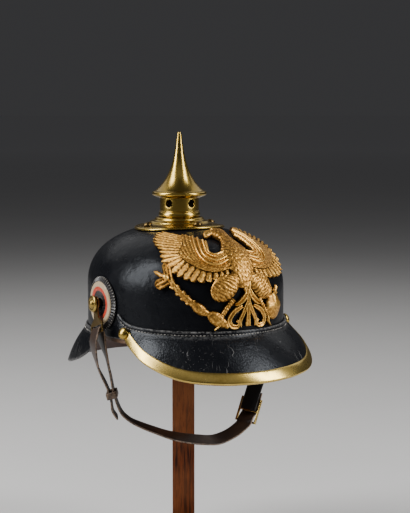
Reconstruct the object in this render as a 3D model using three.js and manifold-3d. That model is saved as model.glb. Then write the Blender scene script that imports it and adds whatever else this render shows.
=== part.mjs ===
// A pickelhaube, the spiked leather helmet, standing on a plain wooden post.
// Millimetres, +Z up. The origin is the middle of the stand's underside.
// The helmet faces -Y, so the wearer's right side is -X.
// Heights in the helmet are measured from the seam of the front visor.
// A turn is the angle about the crown from the front, positive to the wearer's right.

import * as THREE from 'three';
import { mergeVertices } from 'three/addons/utils/BufferGeometryUtils.js';
import { TessellateModifier } from 'three/addons/modifiers/TessellateModifier.js';
import Module from 'manifold-3d';

const wasm = await Module();
wasm.setup();

// Driving dimensions

const GAP = 0.3;
const SEAM_HEIGHT = 240;
const SIDES = { spike: 24, neck: 24, base: 28, post: 12, stud: 12 };

const CROWN = {
  halfWidth: 92,
  halfLength: 112,
  rim: -9,
  wallTop: 35,
  capHeight: 60,
  capPower: 2.3,
  leather: 2.5,
  rimCentreY: -2.5,
  topCentreY: 7.5,
  plateRadius: 103,
  segments: 36,
  capSteps: 7,
  insideSteps: 5,
};
const CROWN_TOP = CROWN.wallTop + CROWN.capHeight;
const NOMINAL = 100;

const VISOR = {
  leather: 2.4,
  flange: 2,
  flangeDepth: 4.5,
  bulge: 2.2,
  bulgeFrom: 8,
  bulgeFull: 40,
  step: 5,
  frontHalf: 75,
  rearHalf: 88,
};

// Front visor: seam height, and the lip's reach from the crown and height, by turn
const FRONT_VISOR = [
  { turn: 0, seam: 4, reach: 37, lip: -37.5 },
  { turn: 18, seam: 4, reach: 35.5, lip: -39.5 },
  { turn: 36, seam: 4, reach: 30, lip: -36 },
  { turn: 52, seam: 4.5, reach: 20.5, lip: -25 },
  { turn: 62, seam: 5.5, reach: 11.5, lip: -14.5 },
  { turn: 69, seam: 8, reach: 5, lip: -5.5 },
  { turn: 75, seam: 15.5, reach: 2.9, lip: 6 },
];

// Rear visor: the same columns, from beside the cockade to the back
const REAR_VISOR = [
  { turn: 92, seam: -4.5, reach: 2.7, lip: -13 },
  { turn: 101, seam: -4.5, reach: 6.5, lip: -27 },
  { turn: 112, seam: -4.5, reach: 13, lip: -38 },
  { turn: 130, seam: -4.5, reach: 22.5, lip: -46 },
  { turn: 155, seam: -4.5, reach: 28, lip: -47.5 },
  { turn: 180, seam: -4.5, reach: 30, lip: -47 },
];

const TRIM = { half: 70, width: 11, under: 6, sheet: 0.8, shareAtEnd: 0.7, easeFrom: 50 };
const TRIM_STUD = { turn: 67, radius: 5.2, rise: 3.6, seat: 1.5 };
const SPINE = { width: 13, sheet: 1, ridge: 0.8, foot: 1.5, steps: 12 };
const SWEATBAND = { leather: 1.3, gap: 0.5, drop: 4, top: 30 };

// Spike and neck: radius and height above the top of the crown
const SPIKE = [
  { radius: 0, height: 91.5 },
  { radius: 1.7, height: 90.8 },
  { radius: 2.6, height: 86 },
  { radius: 3.6, height: 79 },
  { radius: 5.2, height: 69.5 },
  { radius: 7.6, height: 59.5 },
  { radius: 10.9, height: 50.5 },
  { radius: 15.2, height: 42.8 },
  { radius: 20.6, height: 36.2 },
  { radius: 26.4, height: 31.6 },
  { radius: 27.2, height: 30.4 },
  { radius: 26.4, height: 29 },
  { radius: 21.4, height: 26.6 },
  { radius: 0, height: 26.6 },
];
const NECK = [
  { radius: 20.8, height: 26.3 },
  { radius: 19.6, height: 24.6 },
  { radius: 19.3, height: 12.4 },
  { radius: 20.2, height: 11.6 },
  { radius: 20.9, height: 9.4 },
  { radius: 20.2, height: 7.3 },
  { radius: 17.2, height: 7.3 },
  { radius: 17.2, height: 26.3 },
];
const VENT = { count: 5, radius: 3.3, height: 19.6, firstTurn: -9.5, sides: 8 };

// Base plate: radius and height above the crown's leather
const BASE_RADIUS = 45;
const BASE = [
  { radius: 0, height: 7 },
  { radius: 22.6, height: 7 },
  { radius: 24.2, height: 5.8 },
  { radius: 25, height: 4.6 },
  { radius: 29, height: 4 },
  { radius: 30.5, height: 3 },
  { radius: 43, height: 2.6 },
  { radius: BASE_RADIUS, height: 1.8 },
  { radius: BASE_RADIUS, height: 0.5 },
  { radius: 36, height: 0.5 },
  { radius: 25, height: 0.5 },
  { radius: 13, height: 0.5 },
  { radius: 0, height: 0.5 },
];
const BASE_FLAT = { from: 3.2, to: 6.4 };
const BASE_STUD = { distance: 35.5, radius: 4.4, rise: 3, seat: 3.3 };

// Cockade: radius and height above the crown's leather, with flutes on its rim
const COCKADE = [
  { radius: 5.2, height: 0.5 },
  { radius: 26, height: 0.5 },
  { radius: 26, height: 1.6 },
  { radius: 20.2, height: 3 },
  { radius: 18.6, height: 4.2 },
  { radius: 13.6, height: 4 },
  { radius: 5.2, height: 2.2 },
];
const FLUTES = { count: 20, depth: 0.55, from: 20 };
const SIDE = { height: 22.6, turn: 90 };
const SIDE_POST = [
  { radius: 0, height: 13.8 },
  { radius: 3.2, height: 13.2 },
  { radius: 4, height: 11.9 },
  { radius: 7.4, height: 11.4 },
  { radius: 8.2, height: 10.4 },
  { radius: 7.6, height: 9.4 },
  { radius: 3, height: 9.4 },
  { radius: 3, height: GAP },
  { radius: 0, height: GAP },
];

// Strap: centre line, swing of its width about +Z and drop of its front edge, in degrees
const STRAP = { width: 17, leather: 2 };
const CHIN_STRAP = [
  { x: -85, y: -19.2, z: -87, swing: 31, drop: 0 },
  { x: -89.2, y: -18, z: -79.5, swing: 31, drop: 0 },
  { x: -90.6, y: -17.6, z: -71, swing: 31, drop: 0 },
  { x: -92, y: -17, z: -63.5, swing: 31, drop: 0 },
  { x: -95.6, y: -14.8, z: -53, swing: 29, drop: 0 },
  { x: -101, y: -12.6, z: -40.5, swing: 25, drop: -2 },
  { x: -104.8, y: -11.4, z: -27, swing: 16, drop: -8 },
  { x: -106.4, y: -11, z: -15, swing: 6, drop: -14 },
  { x: -104.8, y: -11, z: -5.4, swing: 0, drop: -17.7 },
  { x: -101.9, y: -11, z: -0.2, swing: 0, drop: -17.7 },
  { x: -99, y: -11.2, z: -5.4, swing: 0, drop: -17.7 },
  { x: -97.2, y: -13, z: -16, swing: 8, drop: -12 },
  { x: -94.4, y: -15.6, z: -29, swing: 20, drop: -5 },
  { x: -91.6, y: -17.6, z: -44, swing: 28, drop: 0 },
  { x: -89, y: -19, z: -60, swing: 31, drop: 0 },
  { x: -85.8, y: -20, z: -72, swing: 31, drop: 0 },
  { x: -80.6, y: -21, z: -83, swing: 30, drop: 2 },
  { x: -72, y: -22, z: -91, swing: 26, drop: 5 },
  { x: -62, y: -23, z: -96.4, swing: 22, drop: 9 },
  { x: -48, y: -24, z: -102.6, swing: 16, drop: 14 },
  { x: -30, y: -24.6, z: -110, swing: 10, drop: 20 },
  { x: -11, y: -25, z: -115.6, swing: 4, drop: 24 },
  { x: 6, y: -25, z: -119, swing: -2, drop: 24 },
  { x: 23, y: -24.6, z: -121, swing: -10, drop: 20 },
  { x: 39, y: -23.6, z: -118, swing: -20, drop: 10 },
  { x: 50.5, y: -22.8, z: -113, swing: -28, drop: 3 },
  { x: 58.2, y: -21.7, z: -108.1, swing: -31, drop: 0 },
  { x: 59.9, y: -21.2, z: -105.1, swing: -31, drop: 0 },
  { x: 63.6, y: -19.6, z: -101.4, swing: -31, drop: 0 },
  { x: 67.8, y: -17.8, z: -97.9, swing: -31, drop: 0 },
  { x: 69.5, y: -17.5, z: -93.5, swing: -31, drop: 0 },
  { x: 75.4, y: -16.3, z: -78.8, swing: -31, drop: 0 },
];
const STRAP_LEFT = [
  { x: 104.4, y: -12, z: -18, swing: -6, drop: -14 },
  { x: 104.8, y: -11, z: -5.4, swing: 0, drop: -17.7 },
  { x: 101.9, y: -11, z: -0.2, swing: 0, drop: -17.7 },
  { x: 99, y: -11.2, z: -5.4, swing: 0, drop: -17.7 },
  { x: 97, y: -12.6, z: -18, swing: -8, drop: -12 },
  { x: 92.6, y: -14.6, z: -34, swing: -20, drop: -5 },
  { x: 85.4, y: -16.4, z: -51, swing: -28, drop: 0 },
  { x: 75.8, y: -18, z: -68, swing: -31, drop: 0 },
  { x: 69.4, y: -19.2, z: -82, swing: -31, drop: 0 },
  { x: 63.9, y: -20.3, z: -95.4, swing: -31, drop: 0 },
];
const HOOK = {
  bar: { x: 101.9, y: -11, z: -4.2 },
  height: 7.2,
  sheet: 1.2,
  eye: 7.2,
  bore: 3.5,
  neck: 9,
  shoulder: 5,
  slotWidth: 20.4,
  slotHeight: 5.6,
  border: 2.2,
};
const SLIDE = { along: 6.5, leather: 1.6, inside: 7.2, at: { x: -90, y: -18.15, z: -64 } };
const BUCKLE = { length: 25.6, width: 23.5, bar: 2.1, sheet: 1.6, lift: 2.3 };

// Eagle plate: flat coordinates, x to the wearer's left and y up the crown from the seam
const PLATE = { gap: 0.7, longestEdge: 18, passes: 12 };
const FEATHER = { notch: 0.93, tip: 1.04, ridgeFrom: 0.55, ridgeTo: 0.98, ridgeShare: 0.8 };
const ARM_STEPS = 6;
const WING_TIERS = [
  { edge: 'tip', feathers: 15, height: 1.5, ridge: 0.9 },
  { edge: 'middle', feathers: 7, height: 2.6, ridge: 0 },
  { edge: 'inner', feathers: 5, height: 3.6, ridge: 0 },
];
const WING_RIBS = [
  { arm: [10, 76], inner: [13, 67], middle: [14, 60], tip: [15, 55] },
  { arm: [19, 74], inner: [27, 66.5], middle: [33, 58.5], tip: [40, 51.5] },
  { arm: [24, 78], inner: [36, 71], middle: [50, 64], tip: [65, 55.5] },
  { arm: [26, 84], inner: [40, 80], middle: [58, 76], tip: [78, 70] },
  { arm: [26, 92], inner: [41, 91], middle: [57, 91], tip: [74, 90] },
  { arm: [24, 101], inner: [37, 104], middle: [47, 107], tip: [60, 111] },
  { arm: [21, 105], inner: [29, 110], middle: [32, 113], tip: [36, 116] },
];
const BODY = [
  { x: -1, y: 46, width: 15, height: 3.2 },
  { x: -1, y: 54, width: 23, height: 5 },
  { x: 0, y: 66, width: 29, height: 6.2 },
  { x: 0, y: 78, width: 28, height: 6 },
  { x: 0.5, y: 88, width: 22, height: 5.2 },
  { x: 1, y: 97, width: 18, height: 5 },
  { x: 2, y: 106, width: 21, height: 5.8 },
  { x: 2, y: 113, width: 20, height: 5.6 },
  { x: 1, y: 118, width: 12, height: 4 },
];
const BEAK = [
  { x: 0, y: 111, width: 13, height: 5 },
  { x: -8, y: 110, width: 10, height: 4.6 },
  { x: -13, y: 107, width: 6, height: 3.6 },
  { x: -15, y: 103, width: 2, height: 2.4 },
];
const THIGH = [
  { x: 4, y: 46, width: 12, height: 3.6 },
  { x: 12, y: 42.5, width: 19, height: 4.6 },
  { x: 22, y: 41, width: 20, height: 4.8 },
  { x: 30, y: 40.5, width: 14, height: 4 },
  { x: 36, y: 40, width: 5, height: 2.6 },
];
const LEG = [
  { x: 15, y: 33, width: 7, height: 3.4 },
  { x: 20, y: 27.5, width: 5, height: 3.2 },
  { x: 25, y: 21, width: 5.5, height: 3.6 },
  { x: 29, y: 16, width: 8, height: 3.4 },
];
const TAIL_STALK = [
  { x: 0, y: 48, width: 9, height: 3.4 },
  { x: 0, y: 36, width: 6, height: 2.8 },
  { x: 0, y: 22, width: 5.5, height: 2.6 },
  { x: 0, y: 8, width: 8, height: 2 },
];
const TAIL_SCROLL = [
  { x: 1, y: 38, width: 5, height: 2.6 },
  { x: 8, y: 29, width: 5.5, height: 3 },
  { x: 16, y: 23, width: 5.5, height: 3 },
  { x: 21.5, y: 15, width: 5.5, height: 2.8 },
  { x: 18, y: 8.6, width: 5, height: 2.4 },
  { x: 11, y: 8.2, width: 4.5, height: 2.2 },
];
const TAIL_CURL = [
  { x: 1, y: 30, width: 4, height: 2.4 },
  { x: 6, y: 20, width: 4.5, height: 2.6 },
  { x: 9.5, y: 13.5, width: 4.5, height: 2.4 },
  { x: 10, y: 8, width: 5, height: 2.2 },
];
const SCEPTRE = [
  { x: -19, y: 9, width: 5, height: 2.2 },
  { x: -27, y: 14, width: 13, height: 4 },
  { x: -35, y: 18.5, width: 11, height: 4 },
  { x: -40, y: 21.5, width: 6, height: 3 },
  { x: -46, y: 25.5, width: 11, height: 4.4 },
  { x: -53, y: 30.5, width: 8, height: 3.6 },
  { x: -58, y: 34.5, width: 5, height: 2.8 },
  { x: -64, y: 40, width: 7, height: 3.4 },
  { x: -71, y: 47.5, width: 5, height: 2.8 },
  { x: -74, y: 52, width: 7, height: 3.2 },
  { x: -77, y: 60, width: 6.5, height: 3 },
  { x: -79, y: 66, width: 3, height: 2 },
];
const FINIAL_ARMS = [
  [
    { x: -86, y: 56.5, width: 4, height: 2.2 },
    { x: -79, y: 55.5, width: 5, height: 2.8 },
    { x: -71.5, y: 57, width: 4, height: 2.2 },
  ],
  [
    { x: -86, y: 47, width: 4, height: 2.2 },
    { x: -80, y: 48.5, width: 4.5, height: 2.6 },
    { x: -73, y: 50, width: 5, height: 2.8 },
  ],
];
const ORB = [
  { x: 37, y: 11, width: 8, height: 3 },
  { x: 37, y: 15.5, width: 20, height: 5 },
  { x: 37, y: 23.5, width: 25, height: 6.4 },
  { x: 37, y: 31.5, width: 20, height: 5 },
  { x: 38, y: 36, width: 8, height: 3.2 },
];
const ORB_CROSS = [
  [
    { x: 38, y: 33, width: 4, height: 3 },
    { x: 42, y: 39, width: 3.6, height: 3 },
    { x: 45, y: 43, width: 4.4, height: 2.4 },
  ],
  [
    { x: 38.5, y: 41, width: 3.6, height: 2.2 },
    { x: 42.5, y: 39, width: 3.6, height: 2.8 },
    { x: 46.5, y: 37, width: 3.6, height: 2.2 },
  ],
];
// Cross sections of the relief, as shares of a band's width and height
const RIDGE_RELIEF = [
  { across: -0.5, lift: 0 },
  { across: 0.5, lift: 0 },
  { across: 0, lift: 1 },
];
const ROUND_RELIEF = [
  { across: -0.5, lift: 0 },
  { across: 0.5, lift: 0 },
  { across: 0.36, lift: 0.7 },
  { across: 0, lift: 1 },
  { across: -0.36, lift: 0.7 },
];
const TAIL_SHIFT = 2.5;
const THIGH_SHIFT = -1.5;

const STAND = { turn: -31, post: 22, foot: 150, footHeight: 18, headroom: 1.8 };

// Finishes

const finish = (color, roughness, metalness) =>
  new THREE.MeshStandardMaterial({ color, roughness, metalness });
const BLACK_LEATHER = finish(0x15161a, 0.35, 0);
const BROWN_LEATHER = finish(0x4a3226, 0.6, 0);
const BRASS = finish(0xb08d45, 0.25, 1);
const GILT = finish(0xc79a52, 0.35, 1);
const ENAMEL = finish(0xd8cdb8, 0.5, 0);
const WOOD = finish(0x66351a, 0.55, 0);

// Solids

const toRadians = THREE.MathUtils.degToRad;
const { clamp, lerp, smoothstep } = THREE.MathUtils;

/** Six times the signed volume of a triangle list. */
function signedVolume(positions, index) {
  const corner = (i) => new THREE.Vector3().fromArray(positions, 3 * index[i]);
  let total = 0;
  for (let i = 0; i < index.length; i += 3) {
    total += corner(i).dot(corner(i + 1).cross(corner(i + 2)));
  }
  return total;
}

/** A geometry from positions and triangles, with its faces turned outwards. */
function closedGeometry(positions, index) {
  const inverted = signedVolume(positions, index) < 0;
  const geometry = new THREE.BufferGeometry();
  geometry.setAttribute('position', new THREE.Float32BufferAttribute(positions, 3));
  geometry.setIndex(inverted ? index.toReversed() : index);
  return geometry;
}

/** Triangles that cap a section whose second half runs back along its first half. */
function wallCap(section) {
  const last = section.length - 1;
  const triangles = [];
  for (let i = 0; i < (last - 1) / 2; i++) {
    triangles.push([i, i + 1, last - i], [i + 1, last - i - 1, last - i]);
  }
  return triangles;
}

/** Rings of one section, placed at each station by a function, with both ends capped. */
function loft(section, stations, place, cap = THREE.ShapeUtils.triangulateShape(section, [])) {
  const sides = section.length;
  const positions = [];
  const index = [];
  for (let station = 0; station < stations; station++) {
    section.forEach((point, side) => positions.push(...place(station, point, side).toArray()));
  }
  for (let station = 0; station < stations - 1; station++) {
    for (let side = 0; side < sides; side++) {
      const a = station * sides + side;
      const b = station * sides + ((side + 1) % sides);
      index.push(a, b, b + sides, a, b + sides, a + sides);
    }
  }
  const last = (stations - 1) * sides;
  for (const [a, b, c] of cap) {
    index.push(a, c, b, last + a, last + b, last + c);
  }
  return closedGeometry(positions, index);
}

/** A turned solid from a table of radius and height, standing on +Z. */
function turned(rows, segments, closesOnItself = false) {
  const points = rows.map((row) => new THREE.Vector2(row.radius, row.height));
  if (closesOnItself) points.push(points[0].clone());
  const geometry = new THREE.LatheGeometry(points, segments).rotateX(Math.PI / 2);
  return outward(geometry);
}

/** The same geometry with shared vertices and faces turned outwards. */
function outward(geometry) {
  const bare = new THREE.BufferGeometry();
  bare.setAttribute('position', geometry.getAttribute('position'));
  bare.setIndex(geometry.getIndex());
  const merged = mergeVertices(bare, 1e-4);
  const corners = Array.from(merged.getIndex().array);
  const index = [];
  for (let i = 0; i < corners.length; i += 3) {
    const [a, b, c] = corners.slice(i, i + 3);
    if (a !== b && b !== c && c !== a) index.push(a, b, c);
  }
  return closedGeometry(Array.from(merged.getAttribute('position').array), index);
}

/** Each vertex of a geometry moved by a function of its place. */
function reshape(geometry, move) {
  const position = geometry.getAttribute('position');
  const point = new THREE.Vector3();
  for (let i = 0; i < position.count; i++) {
    move(point.fromBufferAttribute(position, i));
    position.setXYZ(i, point.x, point.y, point.z);
  }
  return geometry;
}

function toSolid(geometry) {
  const merged = outward(geometry);
  const vertProperties = Float32Array.from(merged.getAttribute('position').array);
  const triVerts = Uint32Array.from(merged.getIndex().array);
  return new wasm.Manifold(new wasm.Mesh({ numProp: 3, vertProperties, triVerts }));
}

function toGeometry(solid) {
  const mesh = solid.getMesh();
  const geometry = new THREE.BufferGeometry();
  geometry.setAttribute('position', new THREE.Float32BufferAttribute(mesh.vertProperties, 3));
  geometry.setIndex(Array.from(mesh.triVerts));
  return geometry;
}

const joined = (geometries) => geometries.map(toSolid).reduce((whole, next) => whole.add(next));

/** A value of a table's column between its rows, with a smooth slope and a level first row. */
function readTable(rows, key, column, at) {
  const last = rows.length - 1;
  const upper = rows.findIndex((row) => row[key] >= at);
  const i = clamp((upper < 0 ? last : upper) - 1, 0, last - 1);
  const slope = (k) => {
    if (k === 0) return 0;
    const a = rows[k - 1];
    const b = rows[Math.min(k + 1, last)];
    return (b[column] - a[column]) / (b[key] - a[key]);
  };
  const span = rows[i + 1][key] - rows[i][key];
  const t = clamp((at - rows[i][key]) / span, 0, 1);
  const start = rows[i][column] * (1 + 2 * t) * (1 - t) ** 2 + slope(i) * span * t * (1 - t) ** 2;
  const end = rows[i + 1][column] * t ** 2 * (3 - 2 * t) + slope(i + 1) * span * t ** 2 * (t - 1);
  return start + end;
}

// The crown's outer skin

/** Rows of arc length, plan share and height up the crown, above its straight wall. */
function makeMeridian() {
  const steps = 240;
  const power = 2 / CROWN.capPower;
  const rows = [{ up: CROWN.wallTop, share: 1, height: CROWN.wallTop }];
  for (let i = 1; i <= steps; i++) {
    const angle = (i / steps) * (Math.PI / 2);
    const share = Math.max(0, Math.cos(angle)) ** power;
    const height = CROWN.wallTop + CROWN.capHeight * Math.sin(angle) ** power;
    const before = rows[i - 1];
    const run = Math.hypot((before.share - share) * CROWN.plateRadius, height - before.height);
    rows.push({ up: before.up + run, share, height });
  }
  return rows;
}
const MERIDIAN = makeMeridian();

/** Plan share and height at an arc length above the seam. */
function meridian(up) {
  if (up <= CROWN.wallTop) return { share: 1, height: up };
  const next = Math.max(1, MERIDIAN.findIndex((row) => row.up >= up));
  const a = MERIDIAN[next - 1];
  const b = MERIDIAN[next];
  const t = (up - a.up) / (b.up - a.up);
  return { share: lerp(a.share, b.share, t), height: lerp(a.height, b.height, t) };
}

const crownCentreY = (share) => lerp(CROWN.topCentreY, CROWN.rimCentreY, share);

function crownSkin(turn, up) {
  const { share, height } = meridian(up);
  const x = -CROWN.halfWidth * share * Math.sin(turn);
  const y = crownCentreY(share) - CROWN.halfLength * share * Math.cos(turn);
  return new THREE.Vector3(x, y, height);
}

/** Foot point and outward normal of the crown at a turn and an arc length up. */
function crownFrame(turn, up) {
  const foot = crownSkin(turn, up);
  const along = crownSkin(turn + 0.01, up).sub(foot);
  const rising = crownSkin(turn, up + 0.5).sub(foot);
  return { foot, normal: rising.cross(along).normalize() };
}

function crownAt(turn, up, out) {
  const { foot, normal } = crownFrame(turn, up);
  return foot.addScaledVector(normal, out);
}

/** Height of the crown's skin over a point of the plan. */
function crownHeight(x, y) {
  let share = 0;
  for (let pass = 0; pass < 8; pass++) {
    const v = (y - crownCentreY(share)) / CROWN.halfLength;
    share = Math.min(1, Math.hypot(x / CROWN.halfWidth, v));
  }
  const rise = (1 - share ** CROWN.capPower) ** (1 / CROWN.capPower);
  return CROWN.wallTop + CROWN.capHeight * rise;
}

/** A round turned shell drawn out to the crown's oval plan. */
function ovalised(geometry) {
  return reshape(geometry, (p) => {
    const share = Math.hypot(p.x, p.y) / NOMINAL;
    const centre = p.z > CROWN.wallTop ? crownCentreY(share) : CROWN.rimCentreY;
    p.x *= CROWN.halfWidth / NOMINAL;
    p.y = centre + (p.y * CROWN.halfLength) / NOMINAL;
  });
}

// Leather pieces

function crownShell() {
  const power = 2 / CROWN.capPower;
  const skin = (inset, steps) => {
    const rows = [{ radius: NOMINAL - inset, height: CROWN.rim }];
    for (let i = 0; i <= steps; i++) {
      const angle = (i / steps) * (Math.PI / 2);
      const share = Math.max(0, Math.cos(angle)) ** power;
      const rise = (CROWN.capHeight - inset) * Math.sin(angle) ** power;
      const radius = i === steps ? 0 : (NOMINAL - inset) * share;
      rows.push({ radius, height: CROWN.wallTop + rise });
    }
    return rows;
  };
  const profile = [...skin(0, CROWN.capSteps).reverse(), ...skin(CROWN.leather, CROWN.insideSteps)];
  return ovalised(turned(profile, CROWN.segments));
}

function sweatband() {
  const outer = NOMINAL - CROWN.leather - SWEATBAND.gap;
  const inner = outer - SWEATBAND.leather;
  const foot = CROWN.rim - SWEATBAND.drop;
  const profile = [
    { radius: outer, height: foot },
    { radius: outer, height: SWEATBAND.top },
    { radius: inner, height: SWEATBAND.top },
    { radius: inner, height: foot },
  ];
  return ovalised(turned(profile, CROWN.segments, true));
}

/** A point at a reach outside the rim's oval. */
function rimPoint(turn, reach, height) {
  const x = -(CROWN.halfWidth + reach) * Math.sin(turn);
  const y = CROWN.rimCentreY - (CROWN.halfLength + reach) * Math.cos(turn);
  return new THREE.Vector3(x, y, height);
}

/** Upper side of a visor's section, from the flange's top to the lip, as reach and height. */
function visorSkin(rows, degrees) {
  const seam = readTable(rows, 'turn', 'seam', degrees);
  const reach = readTable(rows, 'turn', 'reach', degrees);
  const lip = readTable(rows, 'turn', 'lip', degrees);
  const top = new THREE.Vector2(GAP + VISOR.flange, seam);
  const bend = new THREE.Vector2(GAP + VISOR.flange + 0.2, seam - VISOR.flangeDepth);
  const edge = new THREE.Vector2(reach, lip);
  const slope = edge.clone().sub(bend);
  const swell = new THREE.Vector2(-slope.y, slope.x).normalize();
  const lift = VISOR.bulge * smoothstep(slope.length(), VISOR.bulgeFrom, VISOR.bulgeFull);
  const middle = bend.clone().lerp(edge, 0.5).addScaledVector(swell, 2 * lift);
  const arch = new THREE.QuadraticBezierCurve(bend, middle, edge);
  return [top, ...arch.getPoints(3)];
}

/** Closed section of a visor: its skin, then the same line inside the leather. */
function visorSection(rows, degrees) {
  const skin = visorSkin(rows, degrees);
  const inside = skin.map((point, i) => {
    const before = skin[Math.max(0, i - 1)];
    const after = skin[Math.min(skin.length - 1, i + 1)];
    const run = after.clone().sub(before).normalize();
    const inner = point.clone().add(new THREE.Vector2(run.y, -run.x).multiplyScalar(VISOR.leather));
    inner.x = Math.max(GAP, inner.x);
    return inner;
  });
  inside[0].set(GAP, skin[0].y);
  return [...skin, ...inside.reverse()];
}

/** Turns of a visor's stations, in degrees, about its own middle. */
function visorTurns(middle, half) {
  const count = 2 * Math.round(half / VISOR.step) + 1;
  return Array.from({ length: count }, (_, i) => middle - half + (2 * half * i) / (count - 1));
}

/** Angle of a turn from the front, from 0 to 180 degrees. */
const offFront = (degrees) => (degrees <= 180 ? Math.abs(degrees) : 360 - degrees);

function visor(rows, middle, half) {
  const turns = visorTurns(middle, half);
  const sections = turns.map((degrees) => visorSection(rows, offFront(degrees)));
  const place = (station, _, side) => {
    const point = sections[station][side];
    return rimPoint(toRadians(turns[station]), point.x, point.y);
  };
  return loft(sections[0], turns.length, place, wallCap(sections[0]));
}

/** The front lip's edge, its directions back and off the leather, and the trim's width and gap. */
function lipFrame(degrees) {
  const skin = visorSkin(FRONT_VISOR, Math.abs(degrees));
  const edge = skin[skin.length - 1];
  const back = skin[skin.length - 2].clone().sub(edge).normalize();
  const over = new THREE.Vector2(back.y, -back.x);
  const width = Math.min(TRIM.width, TRIM.shareAtEnd * skin[1].distanceTo(edge));
  const gap = GAP * (1 + smoothstep(Math.abs(degrees), TRIM.easeFrom, TRIM.half));
  return { edge, back, over, width, gap };
}

/** Brass channel that grips the front visor's lip. */
function visorTrim() {
  const turns = visorTurns(0, TRIM.half);
  const { sheet, under } = TRIM;
  const places = turns.map(lipFrame);
  const section = ({ width, gap }) => {
    const low = -VISOR.leather - gap;
    const reach = Math.min(under, width / 2);
    return [
      [width, gap + sheet],
      [-gap - sheet, gap + sheet],
      [-gap - sheet, low - sheet],
      [reach, low - sheet],
      [reach, low],
      [-gap, low],
      [-gap, gap],
      [width, gap],
    ].map(([along, lift]) => new THREE.Vector2(along, lift));
  };
  return loft(section(places[0]), turns.length, (station, _, side) => {
    const { edge, back, over } = places[station];
    const local = section(places[station])[side];
    const point = edge.clone().addScaledVector(back, local.x).addScaledVector(over, local.y);
    return rimPoint(toRadians(turns[station]), point.x, point.y);
  });
}

// Brass pieces of the crown

function rearSpine() {
  const half = SPINE.width / 2;
  const low = 2 * GAP;
  const section = [
    new THREE.Vector2(-half, low),
    new THREE.Vector2(half, low),
    new THREE.Vector2(half, low + SPINE.sheet),
    new THREE.Vector2(0, low + SPINE.sheet + SPINE.ridge),
    new THREE.Vector2(-half, low + SPINE.sheet),
  ];
  const baseEdge = BASE_RADIUS + 1;
  const top = MERIDIAN.find((row) => {
    const back = crownCentreY(row.share) + CROWN.halfLength * row.share;
    return back - CROWN.topCentreY < baseEdge;
  }).up;
  return loft(section, SPINE.steps + 1, (station, point) => {
    const up = lerp(SPINE.foot, top, station / SPINE.steps);
    const round = CROWN.halfWidth * meridian(up).share;
    return crownAt(Math.PI + point.x / round, up, point.y);
  });
}

function spikeNeck() {
  const tube = toSolid(turned(NECK, SIDES.neck, true));
  const reach = 2 * NECK[0].radius;
  const drills = Array.from({ length: VENT.count }, (_, i) => {
    const turn = toRadians(VENT.firstTurn + (360 * i) / VENT.count);
    const drill = new THREE.CylinderGeometry(VENT.radius, VENT.radius, reach, VENT.sides);
    drill.translate(0, reach / 2, 0);
    drill.rotateX(Math.PI).rotateZ(-turn);
    return drill.translate(0, 0, VENT.height);
  });
  return toGeometry(tube.subtract(joined(drills)));
}

/** Base plate draped over the crown, with a level seat for the neck. */
function spikeBase() {
  return reshape(turned(BASE, SIDES.base), (p) => {
    const drop = crownHeight(p.x, p.y + CROWN.topCentreY) - CROWN_TOP;
    p.z += drop * (1 - smoothstep(p.z, BASE_FLAT.from, BASE_FLAT.to));
  });
}

/** A domed stud on a flat seat, along +Z. */
function stud(radius, rise) {
  const rows = [
    { radius: 0, height: rise },
    { radius: 0.45 * radius, height: 0.9 * rise },
    { radius: 0.82 * radius, height: 0.58 * rise },
    { radius, height: 0.16 * rise },
    { radius, height: 0 },
    { radius: 0, height: 0 },
  ];
  return turned(rows, SIDES.stud);
}

// Side fittings, made for the wearer's right and mirrored for the left

function cockade() {
  const geometry = turned(COCKADE, 2 * FLUTES.count, true);
  const bent = reshape(geometry, (p) => {
    const radius = Math.hypot(p.x, p.y);
    const flute = Math.round((Math.atan2(p.y, p.x) / Math.PI) * FLUTES.count);
    if (radius > FLUTES.from && p.z > 1) p.z += flute % 2 ? FLUTES.depth : -FLUTES.depth;
    const turn = toRadians(SIDE.turn) + p.x / CROWN.halfLength;
    p.copy(crownAt(turn, SIDE.height + p.y, p.z));
  });
  return outward(bent);
}

function sidePost() {
  const across = new THREE.Matrix4().makeRotationY(-Math.PI / 2);
  across.setPosition(crownAt(toRadians(SIDE.turn), SIDE.height, 0));
  return turned(SIDE_POST, SIDES.post).applyMatrix4(across);
}

/** A basis matrix from two directions and a place. */
function frameOf(xAxis, yAxis, origin) {
  const x = xAxis.clone().normalize();
  const z = x.clone().cross(yAxis).normalize();
  const y = z.clone().cross(x);
  return new THREE.Matrix4().makeBasis(x, y, z).setPosition(origin);
}

function rectangle(width, height, Kind = THREE.Shape, x = 0, y = 0) {
  const path = new Kind();
  path.moveTo(x - width / 2, y - height / 2);
  path.lineTo(x + width / 2, y - height / 2);
  path.lineTo(x + width / 2, y + height / 2);
  path.lineTo(x - width / 2, y + height / 2);
  path.closePath();
  return path;
}

const plate = (shape, depth, curveSegments = 10) =>
  new THREE.ExtrudeGeometry(shape, { depth, bevelEnabled: false, curveSegments });

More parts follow.
